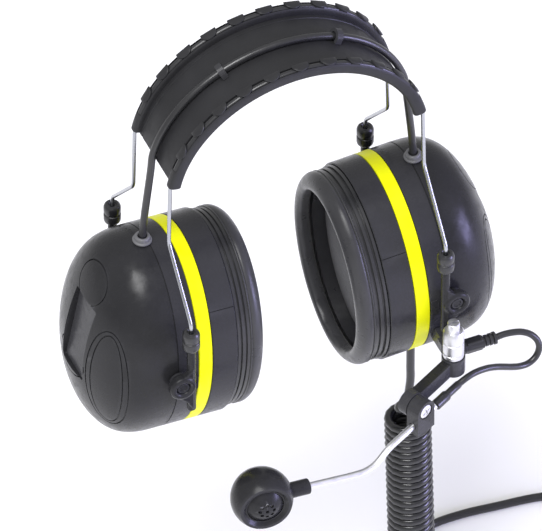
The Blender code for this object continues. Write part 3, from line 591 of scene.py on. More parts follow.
FINISHES = {
    "black_shell": finish("moulded_black_plastic", (0.017, 0.017, 0.019), 0.26, grain_scale=2200.0,
                          grain_depth=0.02, ripple=0.02, edge=(0.05, 0.05, 0.056),
                          specular_ior_level=0.16),
    "yellow_band": finish("moulded_yellow_plastic", (0.66, 0.68, 0.002), 0.40, mottle=0.04,
                          grain_scale=2000.0, grain_depth=0.012, ripple=0.03,
                          specular_ior_level=0.15),
    "cushion_vinyl": finish("grained_black_vinyl", (0.030, 0.030, 0.033), 0.33, grain="cells",
                            grain_scale=900.0, grain_depth=0.03, ripple=0.08, sheen_weight=0.08,
                            specular_ior_level=0.25),
    # Foam colour: the foam's own dark tone raised to a paler grey as painted light, to brighten the inside of
    # the cup's opening, where shade falls.
    "black_foam": finish("open_cell_foam", (0.090, 0.090, 0.096), 0.95, grain="cells", grain_scale=520.0,
                         grain_depth=0.25, mottle=0.15),
    "strap": finish("textured_black_strap", (0.018, 0.018, 0.020), 0.46, grain="cells", grain_scale=1100.0,
                    grain_depth=0.04, ripple=0.08, specular_ior_level=0.22),
    "spring_wire": finish("polished_spring_steel", (0.40, 0.41, 0.44), 0.24, metallic=1.0, mottle=0.10,
                          grain_scale=900.0, grain_depth=0.006, stretch=(1, 1, 0.08)),
    "satin_metal": finish("satin_plated_metal", (0.68, 0.68, 0.71), 0.42, metallic=1.0, mottle=0.06,
                          grain_scale=1500.0, grain_depth=0.008, stretch=(1, 1, 0.2)),
    "grey_rubber": finish("grey_rubber", (0.085, 0.085, 0.092), 0.50, grain_scale=1200.0),
    "black_rubber": finish("black_rubber", (0.016, 0.016, 0.018), 0.32, grain_scale=1500.0,
                           grain_depth=0.012, spread=0.05),
    "cord_jacket": finish("cord_jacket", (0.014, 0.014, 0.016), 0.22, grain_scale=1500.0, grain_depth=0.01,
                          spread=0.04),
    "brass": finish("bare_brass", (0.66, 0.47, 0.20), 0.26, metallic=1.0, mottle=0.10, grain_scale=900.0,
                    grain_depth=0.006),
}


# ---- pieces

def linked(name, data, slot, look=None):
    obj = new_object(name, data)
    data.name = name
    data.materials.clear()
    data.materials.append(FINISHES[look or slot])
    return obj


def piece(name, data, body, slot, *nodes):
    """A visible piece that rides on a body and stands for the CAD nodes."""
    obj = linked(name, data, slot)
    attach(obj, body)
    if nodes:
        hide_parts(*nodes)
    return obj


def cup_piece(ear, name, data, slot, *nodes):
    """A visible piece that rides on one of the cups. Nodes are named without their side."""
    return piece(f"{ear}_{name}", data, f"{ear}_cup", slot, *[f"{ear}_{node}" for node in nodes])


def soften(obj, width):
    """Rounds the sharp edges of a piece."""
    add_modifier(obj, "BEVEL", width=width * MM, segments=3, limit_method="ANGLE", angle_limit=radians(40),
                 harden_normals=True)


def cup_matrix(ear):
    side = SIDES[ear]
    return shifted(side * PIVOT_X, 0, 0) @ Matrix.Rotation(side * CUP_TILT, 4, "Y")


def ellipse(half_width, half_height, centre_y, centre_z, x, steps=RING_STEPS):
    return [Vector((x, centre_y + half_width * cos(t), centre_z + half_height * sin(t)))
            for t in full_turn(steps)]


def cup_rings(stations, side, steps=RING_STEPS):
    """Rings of a cup part. A station is (distance outboard, inset from the cup's outline)."""
    return [
        ellipse(CUP_HALF_WIDTH - inset, CUP_HALF_HEIGHT - inset, 0.0, CUP_CENTRE_Z, side * outboard, steps)
        for outboard, inset in stations
    ]


def dome_rings(depth, inset, side, steps):
    """Rings of the dome from its rim to its pole."""
    rings = []
    for i in range(steps + 1):
        turn = pi / 2 * i / steps
        along = sin(turn) ** (2 / DOME_PROFILE_POWER)
        shrink = max(cos(turn), 0.0) ** (2 / DOME_EDGE_POWER)
        centre_y = DOME_SHIFT * along**2
        centre_z = CUP_CENTRE_Z - DOME_DROP * along**2
        if i == steps:
            rings.append([Vector((side * depth * along, centre_y, centre_z))])
        else:
            rings.append(ellipse(
                (CUP_HALF_WIDTH - inset) * shrink, (CUP_HALF_HEIGHT - inset) * shrink,
                centre_y, centre_z, side * depth * along,
            ))
    return rings


def plate_frame(side):
    """The floor of the name plate recess: its Z points outboard and its Y up."""
    outward = Vector((side * cos(PLATE_LEAN), 0, -sin(PLATE_LEAN)))
    centre = Vector((side * PLATE_CENTRE.x, PLATE_CENTRE.y, PLATE_CENTRE.z))
    return aligned(centre, outward, Vector((0, 1, 0)))


def in_cup(rings, ear):
    matrix = cup_matrix(ear)
    return [place(ring, matrix) for ring in rings]


def cup_mesh(stations, ear, **options):
    return ring_mesh(in_cup(cup_rings(stations, SIDES[ear]), ear), **options)


# ---- outer shell

def below_skin(ear, depth):
    """A solid that fills the dome up to a depth under its surface."""
    side = SIDES[ear]
    rings = cup_rings([(BAND_OUTER - 1, depth)], side) + dome_rings(DOME_DEPTH - depth, depth, side, 24)
    return ring_mesh(in_cup(rings, ear))


def groove_cutter(ear, half_width, half_height, at):
    """Cuts a groove into the dome along the inner side of an ellipse."""
    rings = []
    for inset, level in ((0.0, GROOVE_FROM), (0.0, GROOVE_TO), (GROOVE_WIDTH, GROOVE_TO),
                         (GROOVE_WIDTH, GROOVE_FROM)):
        outline = [((half_height - inset) * cos(t), (half_width - inset) * sin(t), level)
                   for t in full_turn(GROOVE_STEPS)]
        rings.append(place(outline, cup_matrix(ear) @ at))
    return boolean(ring_mesh(rings, closed=True), below_skin(ear, GROOVE_DEPTH))


def moulded_outlines(ear):
    """The grooves round two flush discs and round the long oval on the front of the dome."""
    side = SIDES[ear]
    cutters = []
    for y, z in DISC_CENTRES:
        at = aligned(Vector((side * DISC_X, y, z)), Vector((side, 0, 0)))
        cutters.append(groove_cutter(ear, DISC_HALF_WIDTH, DISC_HALF_HEIGHT, at))
    mirror = Vector((side, 1, 1))
    at = aligned(OVAL_CENTRE * mirror, OVAL_FACING * mirror)
    for half_height, half_width in OVALS:
        cutters.append(groove_cutter(ear, half_width, half_height, at))
    return cutters


def shell_cutters(ear):
    side = SIDES[ear]
    matrix = cup_matrix(ear)
    recess = rounded_rectangle(PLATE_WIDTH, PLATE_HEIGHT, PLATE_CORNER)
    cutters = [prism(recess, CUT_LENGTH, matrix @ plate_frame(side))]
    cutters += moulded_outlines(ear)
    top = matrix @ shifted(side * GROMMET_X, GROMMET_Y, CUP_HALF_HEIGHT - CUT_LENGTH / 2)
    cutters.append(drill(CABLE_HOLE, top))
    if ear == "left":
        bottom = matrix @ shifted(GLAND_X, 0, -CUP_HALF_HEIGHT - CUT_LENGTH / 2)
        cutters.append(drill(GLAND_HOLE, bottom))
    return cutters


def outer_shell(ear):
    side = SIDES[ear]
    rim = BAND_OUTER + GAP
    stations = [(rim, 0.25), (rim + 0.25, 0.0), (-0.75, 0.0), (-0.6, 0.35), (-0.25, 0.35), (-0.1, 0.0)]
    outside = cup_rings(stations, side) + dome_rings(DOME_DEPTH, 0.0, side, 30)
    inside = cup_rings([(rim, WALL)], side) + dome_rings(CAVITY_DEPTH, WALL, side, 12)
    data = ring_mesh(in_cup(outside[::-1] + inside, ear))
    for cutter in shell_cutters(ear):
        data = boolean(data, cutter, sharp=25.0)
    cup_piece(ear, "shell", data, "black_shell", "outer_shell")


def stop_boss(ear, end):
    """The low pad between the band and the fastener's bar."""
    sign = ENDS[end]
    x, z = STOP_BOSS_AT
    centre = Vector((SIDES[ear] * x, sign * (CUP_HALF_WIDTH - STOP_BOSS_SUNK), z))
    at = cup_matrix(ear) @ aligned(centre, Vector((0, sign, 0)))
    data = prism(rounded_rectangle(*STOP_BOSS_SIZE, 0.6), STOP_BOSS_HEIGHT, at)
    soften(cup_piece(ear, f"{end}_stop_boss", data, "black_shell"), 0.25)


# ---- the rest of a cup

def cup_ring(ear, name, stations, slot, node):
    cup_piece(ear, name, cup_mesh(stations, ear, closed=True), slot, node)


def parting_cutters(ear):
    """Two fine parting lines along the inner shell, one each side of the front."""
    side = SIDES[ear]
    cutters = []
    for angle in PARTING_ANGLES:
        turn = radians(angle)
        y = CUP_HALF_WIDTH * cos(turn)
        z = CUP_CENTRE_Z + CUP_HALF_HEIGHT * sin(turn)
        outward = Vector((0, cos(turn) / CUP_HALF_WIDTH, sin(turn) / CUP_HALF_HEIGHT))
        at = aligned(Vector((side * (BAND_INNER + FLANGE_INNER) / 2, y, z)), outward, Vector((1, 0, 0)))
        sunk = cup_matrix(ear) @ at @ shifted(0, 0, -PARTING_DEPTH)
        cutters.append(prism(rounded_rectangle(CUT_LENGTH, PARTING_WIDTH, 0.05), 3.0, sunk))
    return cutters


def band_and_inner_shell(ear):
    cup_ring(ear, "band", (
        (BAND_OUTER, 0.3), (BAND_OUTER - 0.3, 0.0), (BAND_INNER + 0.3, 0.0), (BAND_INNER, 0.3),
        (BAND_INNER, WALL), (BAND_OUTER, WALL),
    ), "yellow_band", "colour_band")
    start = BAND_INNER - GAP
    stations = (
        (start, 0.3), (start - 0.3, 0.0), (FLANGE_INNER + 0.4, 0.0), (FLANGE_INNER, 0.4),
        (FLANGE_INNER, EAR_INSET), (FLANGE_OUTER, EAR_INSET), (FLANGE_OUTER, WALL), (start, WALL),
    )
    data = cup_mesh(stations, ear, closed=True)
    for cutter in parting_cutters(ear):
        data = boolean(data, cutter)
    cup_piece(ear, "back_shell", data, "black_shell", "inner_shell")


SEAL_STATIONS = (
    (FLANGE_INNER - GAP, 1.1), (-31.1, 0.9), (-32.3, 0.9), (-32.5, 1.1), (-32.6, 2.2), (-33.4, 2.2),
    (-33.5, 1.6), (-33.7, 1.4), (-35.1, 1.4), (-35.3, 1.6), (-35.4, 2.4), (-36.0, 2.4), (-36.1, 1.8),
    (-36.3, 1.6), (CUSHION_BACK + GAP, 1.6), (CUSHION_BACK + GAP, EAR_INSET),
    (FLANGE_INNER - GAP, EAR_INSET),
)
CUSHION_SECTION = (
    (CUSHION_BACK, 2.4), (-38.2, 1.5), (-39.2, 1.0), (-40.4, 0.9), (-41.6, 1.2), (-42.8, 1.9),
    (-43.8, 2.8), (-44.7, 3.9), (-45.3, 5.0), (-45.7, 6.1), (-45.9, 7.0), (-45.9, 7.8), (-45.6, 8.4),
    (-45.0, 8.8), (-43.4, 8.7), (-41.6, 8.5), (-40.0, 8.4), (CUSHION_BACK, 8.4),
)


def simulated(data, ear):
    """The cushion after its cloth swells under pressure. Its back is held and no point moves far."""
    bigger = SIMULATION_SCALE
    cap = SWELL * MM * bigger
    inverse = cup_matrix(ear).inverted()
    obj = new_object("scratch", data)
    data.transform(Matrix.Scale(bigger, 4))
    held = obj.vertex_groups.new(name="held")
    for vertex in data.vertices:
        outboard = (inverse @ (vertex.co / bigger / MM)).x * SIDES[ear]
        if outboard > CUSHION_BACK - 0.5:
            held.add([vertex.index], 1.0, "REPLACE")
    rest = [vertex.co.copy() for vertex in data.vertices]
    cloth = add_modifier(obj, "CLOTH").settings
    for name, value in CLOTH.items():
        setattr(cloth, name, value)
    cloth.effector_weights.gravity = 0
    for number in range(1, SIMULATION_FRAMES + 1):
        bpy.context.scene.frame_set(number)
    moved = evaluated_mesh(obj)
    for vertex, start in zip(data.vertices, rest):
        step = moved.vertices[vertex.index].co - start
        if step.length > cap:
            step = step.normalized() * cap
        vertex.co = start + step
    data.transform(Matrix.Scale(1 / bigger, 4))
    bpy.context.scene.frame_set(1)
    bpy.data.objects.remove(obj, do_unlink=True)
    bpy.data.meshes.remove(moved)
    return data


def relaxed(data, rounds):
    """The mesh with its surface evened out."""
    mesh = bmesh.new()
    mesh.from_mesh(data)
    for _ in range(rounds):
        bmesh.ops.smooth_vert(mesh, verts=mesh.verts, factor=0.5, use_axis_x=True, use_axis_y=True,
                              use_axis_z=True)
    mesh.to_mesh(data)
    mesh.free()
    return data


def ear_cushion(ear):
    rings = in_cup(cup_rings(CUSHION_SECTION, SIDES[ear], CUSHION_STEPS), ear)
    data = ring_mesh(rings, closed=True, sharp=180.0)
    data = relaxed(simulated(data, ear), 2)
    data.shade_smooth()
    cushion = cup_piece(ear, "cushion", data, "cushion_vinyl", "ear_cushion")
    add_modifier(cushion, "SUBSURF", levels=1, render_levels=1)
    seam = in_cup(cup_rings([WELT_STATION], SIDES[ear]), ear)[0]
    cup_piece(ear, "cushion_welt", loop_tube(seam, WELT_RADIUS), "cushion_vinyl")


def ear_foam(ear):
    inset = EAR_INSET + FOAM_GAP
    stations = [(FLANGE_OUTER, inset), (FOAM_EDGE, inset), (FOAM_EDGE - 0.5, inset + 0.5)]
    for i in range(1, 11):
        swell = FOAM_SWELL * sin(pi / 2 * i / 10)
        stations.append((FOAM_EDGE - 0.6 - swell, inset + 0.5 + FOAM_RING_WIDTH * i))
    cup_piece(ear, "foam_disc", cup_mesh(stations, ear, sharp=60.0), "black_foam", "ear_foam")


def pivot_pin(ear, end):
    sign = ENDS[end]
    at = cup_matrix(ear) @ aligned(Vector((0, sign * (CUP_HALF_WIDTH + GAP), 0)), Vector((0, sign, 0)))
    cup_piece(ear, f"{end}_pin", revolved(PIN_OUTLINE, at), "black_shell", f"{end}_pivot_pin")


def cable_grommet(ear):
    base = CUP_HALF_HEIGHT + CUP_CENTRE_Z + GAP
    at = cup_matrix(ear) @ shifted(SIDES[ear] * GROMMET_X, GROMMET_Y, base)
    data = revolved(GROMMET_OUTLINE, at, closed=True)
    cup_piece(ear, "grommet", data, "grey_rubber", "cable_grommet")


def collar(ear, end):
    side, sign = SIDES[ear], ENDS[end]
    at = shifted(side * STEM_X, sign * STEM_Y, 0)
    data = revolved(BOOT_OUTLINE, at, closed=True)
    piece(f"{ear}_{end}_boot", data, f"{ear}_yoke", "black_rubber", f"{ear}_{end}_collar")


def fastener(ear, end):
    """The bar and its eye as one moulding: a rim is added round the eye and every edge is rounded."""
    side, sign = SIDES[ear], ENDS[end]
    node = f"{ear}_{end}_fastener"
    loop = [Vector((side * PIVOT_X + EYE_RIM * cos(t), sign * EYE_MIDDLE_Y, EYE_RIM * sin(t)))
            for t in full_turn(EYE_STEPS)]
    rim = loop_tube(loop, EYE_RIM_RADIUS, 16)
    data = boolean(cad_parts[node].data.copy(), rim, "UNION")
    obj = new_object("scratch", data)
    add_modifier(obj, "REMESH", mode="VOXEL", voxel_size=MOULDING_VOXEL * MM)
    add_modifier(obj, "SMOOTH", factor=0.5, iterations=4)
    made = evaluated_mesh(obj)
    bpy.data.objects.remove(obj, do_unlink=True)
    shade(made, 60.0)
    piece(f"{node}_moulding", made, f"{ear}_yoke", "black_shell", node)


# ---- headband

def band_point(angle, radius, y, drop):
    """A point of the headband's arch, which is lower than a circle by the drop at its top."""
    turn = radians(angle)
    height = ARCH_CENTRE_Z + (radius - drop) * sin(turn)
    return Vector((radius * cos(turn), y, height))


def arc_angles(start, steps):
    return [start + (180 - 2 * start) * i / steps for i in range(steps + 1)]


def spring_wire(end):
    sign = ENDS[end]
    low, high = sign * STEM_Y, sign * SLEEVE_Y
    arc = [band_point(angle, WIRE_ARC, high, WIRE_DROP) for angle in arc_angles(WIRE_ARC_START, 96)]
    half = [Vector((STEM_X, low, WIRE_END_Z)), Vector((STEM_X, low, FOOT_Z)),
            Vector((STEM_X, high, BEND_Z)), arc[0]]
    half = filleted(half, WIRE_BEND)[:-1]
    data = tube_mesh(half + arc + mirrored(half), WIRE_RADIUS, 16)
    piece(f"{end}_wire", data, "root", "spring_wire", f"{end}_spring_wire")


def strap():
    """The flat panel of the headband, with a shallow crease beside each edge."""
    half = SLEEVE_Y - STRAP_TUCK
    low = STRAP_OUTER - STRAP_THICKNESS
    upper = [(-half, STRAP_OUTER - 0.3), (-half + 0.3, STRAP_OUTER)]
    crease = STRAP_OUTER - CREASE_DEPTH
    for middle in (-half + CREASE_INSET, half - CREASE_INSET):
        upper += [(middle - 0.4, STRAP_OUTER), (middle - 0.15, crease), (middle + 0.15, crease),
                  (middle + 0.4, STRAP_OUTER)]
    upper += [(half - 0.3, STRAP_OUTER), (half, STRAP_OUTER - 0.3)]
    lower = [(half, low + 0.4), (half - 0.4, low), (-half + 0.4, low), (-half, low + 0.4)]
    rings = [[band_point(angle, radius, y, STRAP_DROP) for y, radius in upper + lower]
             for angle in arc_angles(STRAP_START, 90)]
    piece("strap_panel", ring_mesh(rings, sharp=30.0), "root", "strap", "headband_strap")


def bead_section(first, last, steps):
    """A squarish round section: points (depth, width) between two angles from straight outward."""
    points = []
    for i in range(steps + 1):
        turn = first + (last - first) * i / steps
        deep, wide = cos(turn), sin(turn)
        size = (abs(deep) ** BEAD_POWER + abs(wide) ** BEAD_POWER) ** (-1 / BEAD_POWER)
        points.append((SLEEVE_HALF_DEPTH * size * deep, SLEEVE_HALF_WIDTH * size * wide))
    return points


def channel_section():
    """The strap's edge in section: a bead with a slot on its outer side for the wire."""
    opening = asin(SLOT_HALF_WIDTH / SLEEVE_HALF_WIDTH)
    section = bead_section(opening, 2 * pi - opening, 30)
    return section + [(0.3, -SLOT_HALF_WIDTH), (0.3, SLOT_HALF_WIDTH)]


def bead_rings(section, angles, y, shrink_ends=False):
    rings = []
    last = len(angles) - 1
    for i, angle in enumerate(angles):
        size = BEAD_END_SIZE if shrink_ends and i in (0, last) else 1.0
        rings.append([band_point(angle, SLEEVE_CENTRE + depth * size, y + width * size, WIRE_DROP)
                      for depth, width in section])
    return rings


def edge_sleeve(end):
    """The strap's edge: an open channel over the head, and closed beads at both ends."""
    y = ENDS[end] * SLEEVE_Y
    closed = SLEEVE_CLOSED_TO
    channel = ring_mesh(bead_rings(channel_section(), arc_angles(closed, 90), y), sharp=40.0)
    full = bead_section(0.0, 2 * pi, 36)[:-1]
    beads = []
    for flip in (False, True):
        angles = [STRAP_START, STRAP_START + 0.5]
        angles += [STRAP_START + 0.5 + (closed - STRAP_START) * i / 8 for i in range(1, 8)]
        angles += [closed + 0.4, closed + 0.9]
        if flip:
            angles = [180 - angle for angle in angles]
        beads.append(ring_mesh(bead_rings(full, angles, y, shrink_ends=True), sharp=50.0))
    data = join_meshes([channel] + beads, 40.0)
    piece(f"{end}_edge_bead", data, "root", "strap", f"{end}_edge_sleeve")
    wire = [band_point(angle, WIRE_ARC, y, WIRE_DROP) for angle in arc_angles(closed - 2, 96)]
    piece(f"{end}_wire_sheath", tube_mesh(wire, SHEATH_RADIUS), "root", "black_rubber")


def tab_outline(size):
    """A half-round tab: points (along the band, across it), round towards the wearer's front."""
    half, back = size * TAB_HALF_LENGTH, TAB_BASE + size * 1.4
    points = [(half * cos(pi * i / 16), TAB_BASE - size * TAB_REACH * sin(pi * i / 16)) for i in range(17)]
    return points + [(-half, back), (half, back)]


def wire_tabs(end):
    """The tabs that close over the wire."""
    y = ENDS[end] * SLEEVE_Y
    mesh = bmesh.new()
    for i in range(TAB_COUNT):
        middle = TAB_FIRST + (TAB_LAST - TAB_FIRST) * i / (TAB_COUNT - 1)
        rings = []
        for size, depth in TAB_LEVELS:
            ring = []
            for along, across in tab_outline(size):
                angle = middle + degrees(along / (SLEEVE_CENTRE + depth))
                lowered = depth - 0.04 * across**2
                ring.append(band_point(angle, SLEEVE_CENTRE + lowered, y + across, WIRE_DROP))
            rings.append(ring)
        rings.append([band_point(middle, SLEEVE_CENTRE + TAB_LEVELS[-1][1], y, WIRE_DROP)])
        add_rings(mesh, rings)
    piece(f"{end}_wire_tabs", finished_mesh(mesh, 40.0), "root", "strap")


# ---- boom

def boom_axes():
    along = Vector((cos(ARM_HEADING), sin(ARM_HEADING), 0))
    across = Vector((-along.y, along.x, 0))
    return along, across


def arm_end():
    along, _ = boom_axes()
    middle = POST.z - GAP - HUB_HEIGHT / 2
    drop = ARM_LENGTH * tan(ARM_SLOPE)
    return Vector((POST.x, POST.y, middle - drop)) + along * ARM_LENGTH


def boom_line():
    """A point of the boom at the clamp's middle, and the boom's direction towards its back end."""
    along, across = boom_axes()
    middle = arm_end() + across * (CLAMP_START + CLAMP_END) / 2 - UP * BOOM_DROP
    back = -along * cos(BOOM_SLOPE) + UP * sin(BOOM_SLOPE)
    return middle, back


def boom_post():
    at = Matrix.Translation(POST)
    slot = prism(rounded_rectangle(*POST_SLOT_SIZE, 0.1), 3.0, at @ shifted(0, 0, POST_SLOT_FLOOR))
    data = boolean(revolved(POST_OUTLINE, at), slot)
    piece("post", data, "left_cup", "satin_metal", "boom_post")


def mic_plug():
    at = aligned(MIC_PLUG_START, Vector((1, 0, 0)))
    profile = [(0, 0), (3.2, 0), (3.4, 0.2), (3.4, 3.0), (3.2, 3.2), (3.2, 12.2), (3.0, 12.4)]
    for rib in range(3):
        start = 12.6 + 2.1 * rib
        radius = 2.8 + 0.15 * rib
        profile += [(2.2, start), (2.2, start + 0.5), (radius, start + 0.7), (radius, start + 1.9)]
    profile += [(2.3, 19.0), (1.8, 19.2), (0, 19.2)]
    piece("cable_plug", revolved(profile, at), "left_cup", "black_rubber", "mic_plug")
    grip = prism(rounded_rectangle(6.6, 4.6, 0.8), 8.0, at @ shifted(0, 0, 3.6))
    soften(piece("cable_plug_grip", grip, "left_cup", "black_rubber"), 0.4)


def cord_gland():
    at = cup_matrix("left") @ shifted(GLAND_X, 0, CUP_CENTRE_Z - CUP_HALF_HEIGHT)
    profile = [(0, 2.4), (2.6, 2.4), (2.6, -0.3), (4.8, -0.3), (5.0, -0.5), (5.0, -1.5), (4.7, -1.8),
               (3.6, -2.1)]
    for rib in range(4):
        start = -3.0 - 2.4 * rib
        radius = 3.5 - 0.12 * rib
        profile += [(radius, start), (radius - 0.6, start - 0.3), (radius - 0.6, start - 1.0),
                    (radius - 0.1, start - 1.3)]
    profile += [(2.9, -13.6), (2.6, -13.9), (0, -13.9)]
    return piece("gland", revolved(profile, at), "left_cup", "black_rubber", "cord_gland")


def clamp_screw():
    """A screw with a cross recess in its head."""
    _, across = boom_axes()
    at = aligned(arm_end(), across)
    head = CLAMP_END - HEAD_DEPTH + GAP
    profile = ((0, -2.4), (1.4, -2.4), (1.4, head), (3.4, head), (3.6, head + 0.2), (3.5, head + 0.8),
               (2.4, head + 1.15), (0, head + 1.3))
    data = revolved(profile, at)
    for turn in CROSS_ANGLES:
        spun = at @ Matrix.Rotation(radians(turn), 4, "Z") @ shifted(0, 0, head + 0.45)
        data = boolean(data, prism(rounded_rectangle(4.6, 0.9, 0.2), 3.0, spun))
    piece("cross_head_screw", data, "boom_clamp", "satin_metal", "clamp_screw")


def boom_tube():
    middle, back = boom_line()
    straight = [middle + back * along for along in (BOOM_BACK, 0.0, -12.0, -22.0)]
    path = smooth_path(straight + in_vectors(BOOM_POINTS), 1.5)
    piece("boom_rod", tube_mesh(path, BOOM_RADIUS, 28), "boom", "satin_metal", "boom_tube")
    at = aligned(middle + back * (BOOM_BACK + GAP), back)
    piece("boom_rear_boot", revolved(REAR_BOOT_OUTLINE, at), "boom", "black_rubber", "boom_rear_sleeve")


def mic_housing():
    """The ball with its flat mouth, and the neck that takes the boom."""
    at = aligned(MIC_CENTRE, MIC_FACING)
    rim = asin(MIC_FLAT / MIC_RADIUS)
    profile = [(0, -MIC_RADIUS)]
    for i in range(1, 25):
        turn = -pi / 2 + (rim + pi / 2) * i / 24
        profile.append((MIC_RADIUS * cos(turn), MIC_RADIUS * sin(turn)))
    profile += MOUTH_OUTLINE
    data = revolved(profile, at, steps=72)
    start = Vector((NECK_END_X, *MIC_CENTRE.yz)) - UP * NECK_DROP
    length = (MIC_CENTRE - start).length - NECK_INSIDE
    neck = ((0, 0), (3.5, 0), (NECK_RADIUS, 0.3), (NECK_RADIUS, length - 1.5), (NECK_RADIUS + 0.9, length),
            (0, length))
    data = boolean(data, revolved(neck, aligned(start, MIC_CENTRE - start)), "UNION")
    piece("mic_ball", data, "boom", "black_shell", "mic_housing")


def mic_grille():
    at = aligned(MIC_CENTRE, MIC_FACING)
    outer = [GRILLE_RADIUS * sin(pi / 2 * i / 10) for i in range(11)]
    outer = [(radius, 6.4 + 3.8 * (1 - (radius / GRILLE_RADIUS) ** 2)) for radius in outer]
    inner = [(radius, height - 1.1) for radius, height in reversed(outer)]
    data = revolved(outer + inner, at)
    spots = [(0.0, 0.0)]
    spots += [(GRILLE_CIRCLE * cos(t), GRILLE_CIRCLE * sin(t)) for t in full_turn(GRILLE_HOLES)]
    for x, y in spots:
        data = boolean(data, drill(GRILLE_HOLE, at @ shifted(x, y, 0), steps=20))
    piece("mic_grille_cap", data, "boom", "black_shell", "mic_grille")


# ---- cords

def helix_path():
    """The curly stretch: out from the middle, round and down, and back to the middle."""
    down = (COIL_BOTTOM - COIL_TOP).normalized()
    sideways = aligned(COIL_TOP, down).to_3x3()
    x, y = sideways.col[0], sideways.col[1]
    first, last = COIL_END, (COIL_BOTTOM - COIL_TOP).length - COIL_END
    ease_points = COIL_EASE_POINTS
    turns = (last - first) / HELIX_PITCH
    count = round(turns * HELIX_TURN_POINTS)
    path = []
    for i in range(-ease_points, count + ease_points + 1):
        lead = i / HELIX_TURN_POINTS
        depth = first + lead * HELIX_PITCH
        ease = 1.0
        if i < 0:
            ease = 1 + i / ease_points
            depth = first - COIL_EASE_DROP * (i / ease_points) ** 2
        elif i > count:
            ease = 1 - (i - count) / ease_points
            depth = last + COIL_EASE_DROP * ((i - count) / ease_points) ** 2
        ease = ease * ease * (3 - 2 * ease)
        angle = 2 * pi * (min(lead, turns) if i <= count else lead)
        spoke = x * cos(angle) + y * sin(angle)
        path.append(COIL_TOP + down * depth + spoke * HELIX_RADIUS * ease)
    return path


def main_cord(gland):
    """The cord: a short drop, the curly stretch, and the lead to its plug on the floor."""
    exit_at = cup_matrix("left") @ Vector((GLAND_X, 0, CUP_CENTRE_Z - CUP_HALF_HEIGHT - GLAND_LENGTH))
    joined_at = exit_at - UP * CORD_TOP
    coil = helix_path()
    above = smooth_path([joined_at, joined_at - UP * (CORD_TOP / 2)] + coil[:2], 3.0)[:-1]
    tail = smooth_path([coil[-2], coil[-1]] + in_vectors(LEAD_POINTS), 4.0)[1:]
    path = above + coil[1:-1] + tail
    cord = linked("main_cord", tube_mesh(path, CORD_RADIUS), "black_rubber", "cord_jacket")
    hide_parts("cord_drop", "cord_coil", "cord_lead")
    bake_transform(cord)
    drop = smooth_path([exit_at + UP * 2.0, exit_at - UP * (CORD_TOP / 2), joined_at], 1.0)
    top = linked("main_cord_top", tube_mesh(drop, CORD_RADIUS), "black_rubber", "cord_jacket")
    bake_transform(top)
    plug, tip = cord_plug()


def cord_plug():
    at = aligned(PLUG_START, Vector((0, -1, 0)))
    profile = [(0, 0), (2.9, 0), (3.2, 0.4)]
    for rib in range(4):
        profile += [(3.3 + 0.1 * rib, 1.6 + 2 * rib), (2.8 + 0.1 * rib, 1.9 + 2 * rib),
                    (2.8 + 0.1 * rib, 2.7 + 2 * rib), (3.4 + 0.1 * rib, 3.0 + 2 * rib)]
    profile += [(5.4, 12), (6.6, 13.4), (6.9, 14.4)]
    for groove in range(6):
        start = 20 + 3 * groove
        profile += [(6.9, start), (6.5, start + 0.4), (6.5, start + 1.2), (6.9, start + 1.6)]
    profile += [(6.9, 45.6), (6.7, 46.6), (6.2, 48), (0, 48)]
    plug = piece("plug_handle", revolved(profile, at), "root", "black_rubber", "cord_plug")
    pin = piece("plug_pin", revolved(TIP_OUTLINE, at), "root", "brass", "plug_tip")
    return plug, pin


def headband_cable():
    """The cable from cup to cup. Each leg is made as a low and a high stretch."""
    radius = STRAP_OUTER + GAP + BAND_CABLE
    up = in_vectors(BAND_CABLE_POINTS)
    arc = [band_point(angle, radius, 0, STRAP_DROP) for angle in arc_angles(BAND_CABLE_ARC_START, 24)]
    path = smooth_path(up + arc + mirrored(up), 1.5)
    upper = [point for point in path if point.z > BAND_CABLE_FIXED_FROM]
    for ear, side in SIDES.items():
        leg = [point for point in path if point.x * side > 0 and point.z <= BAND_CABLE_LEG_TO]
        leg.sort(key=lambda point: point.z)
        low = [point for point in leg if point.z <= BAND_CABLE_LOW_TO]
        high = [point for point in leg if point.z >= BAND_CABLE_HIGH_FROM]
        for part, name, bodies in ((low, "low", (f"{ear}_cup", f"{ear}_yoke")),
                                   (high, "high", (f"{ear}_yoke", "root"))):
            obj = linked(f"{ear}_band_cable_{name}", tube_mesh(part, BAND_CABLE, 20), "black_rubber")
            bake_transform(obj)
    cable = piece("band_cable", tube_mesh(upper, BAND_CABLE, 20), "root", "black_rubber", "headband_cable")


def mic_cable():
    """The thin cable from the boom's back end to the plug on the cup, in three stretches."""
    middle, back = boom_line()
    start = middle + back * (BOOM_BACK + REAR_BOOT_OUTLINE[-1][1] + 2 * GAP)
    path = smooth_path([start - back * 1.5, start] + in_vectors(MIC_CABLE_POINTS), 1.2)
    cuts = [0] + [round(len(path) * share) for share in MIC_CABLE_CUTS] + [len(path) - 1]
    pairs = (("boom", "boom_clamp"), ("boom_clamp", "boom_arm"), ("boom_arm", "left_cup"))
    made = []
    for i, bodies in enumerate(pairs):
        part = path[cuts[i]:cuts[i + 1] + 1]
        obj = linked(f"mic_cable_{i + 1}", tube_mesh(part, THIN_CABLE, 20), "black_rubber")
        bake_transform(obj)
        made.append((obj, part))
    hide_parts("mic_cable")
    for i, extra in ((1, [made[0][0]]), (2, [])):
        obj, part = made[i]


# ---- carried-over CAD nodes

KEPT_NODES = {
    "cable_clip": ("black_shell", 0.25), "name_plate": ("black_shell", 0.2),
    "speaker_plate": ("black_shell", 0.2), "speaker": ("satin_metal", 0.2),
    "foam_liner": ("black_foam", 0.4), "boom_bracket": ("black_shell", 0.5),
    "boom_arm": ("black_shell", 0.5), "boom_clamp": ("black_shell", 0.5),
    "mic_capsule": ("satin_metal", 0.2),
}


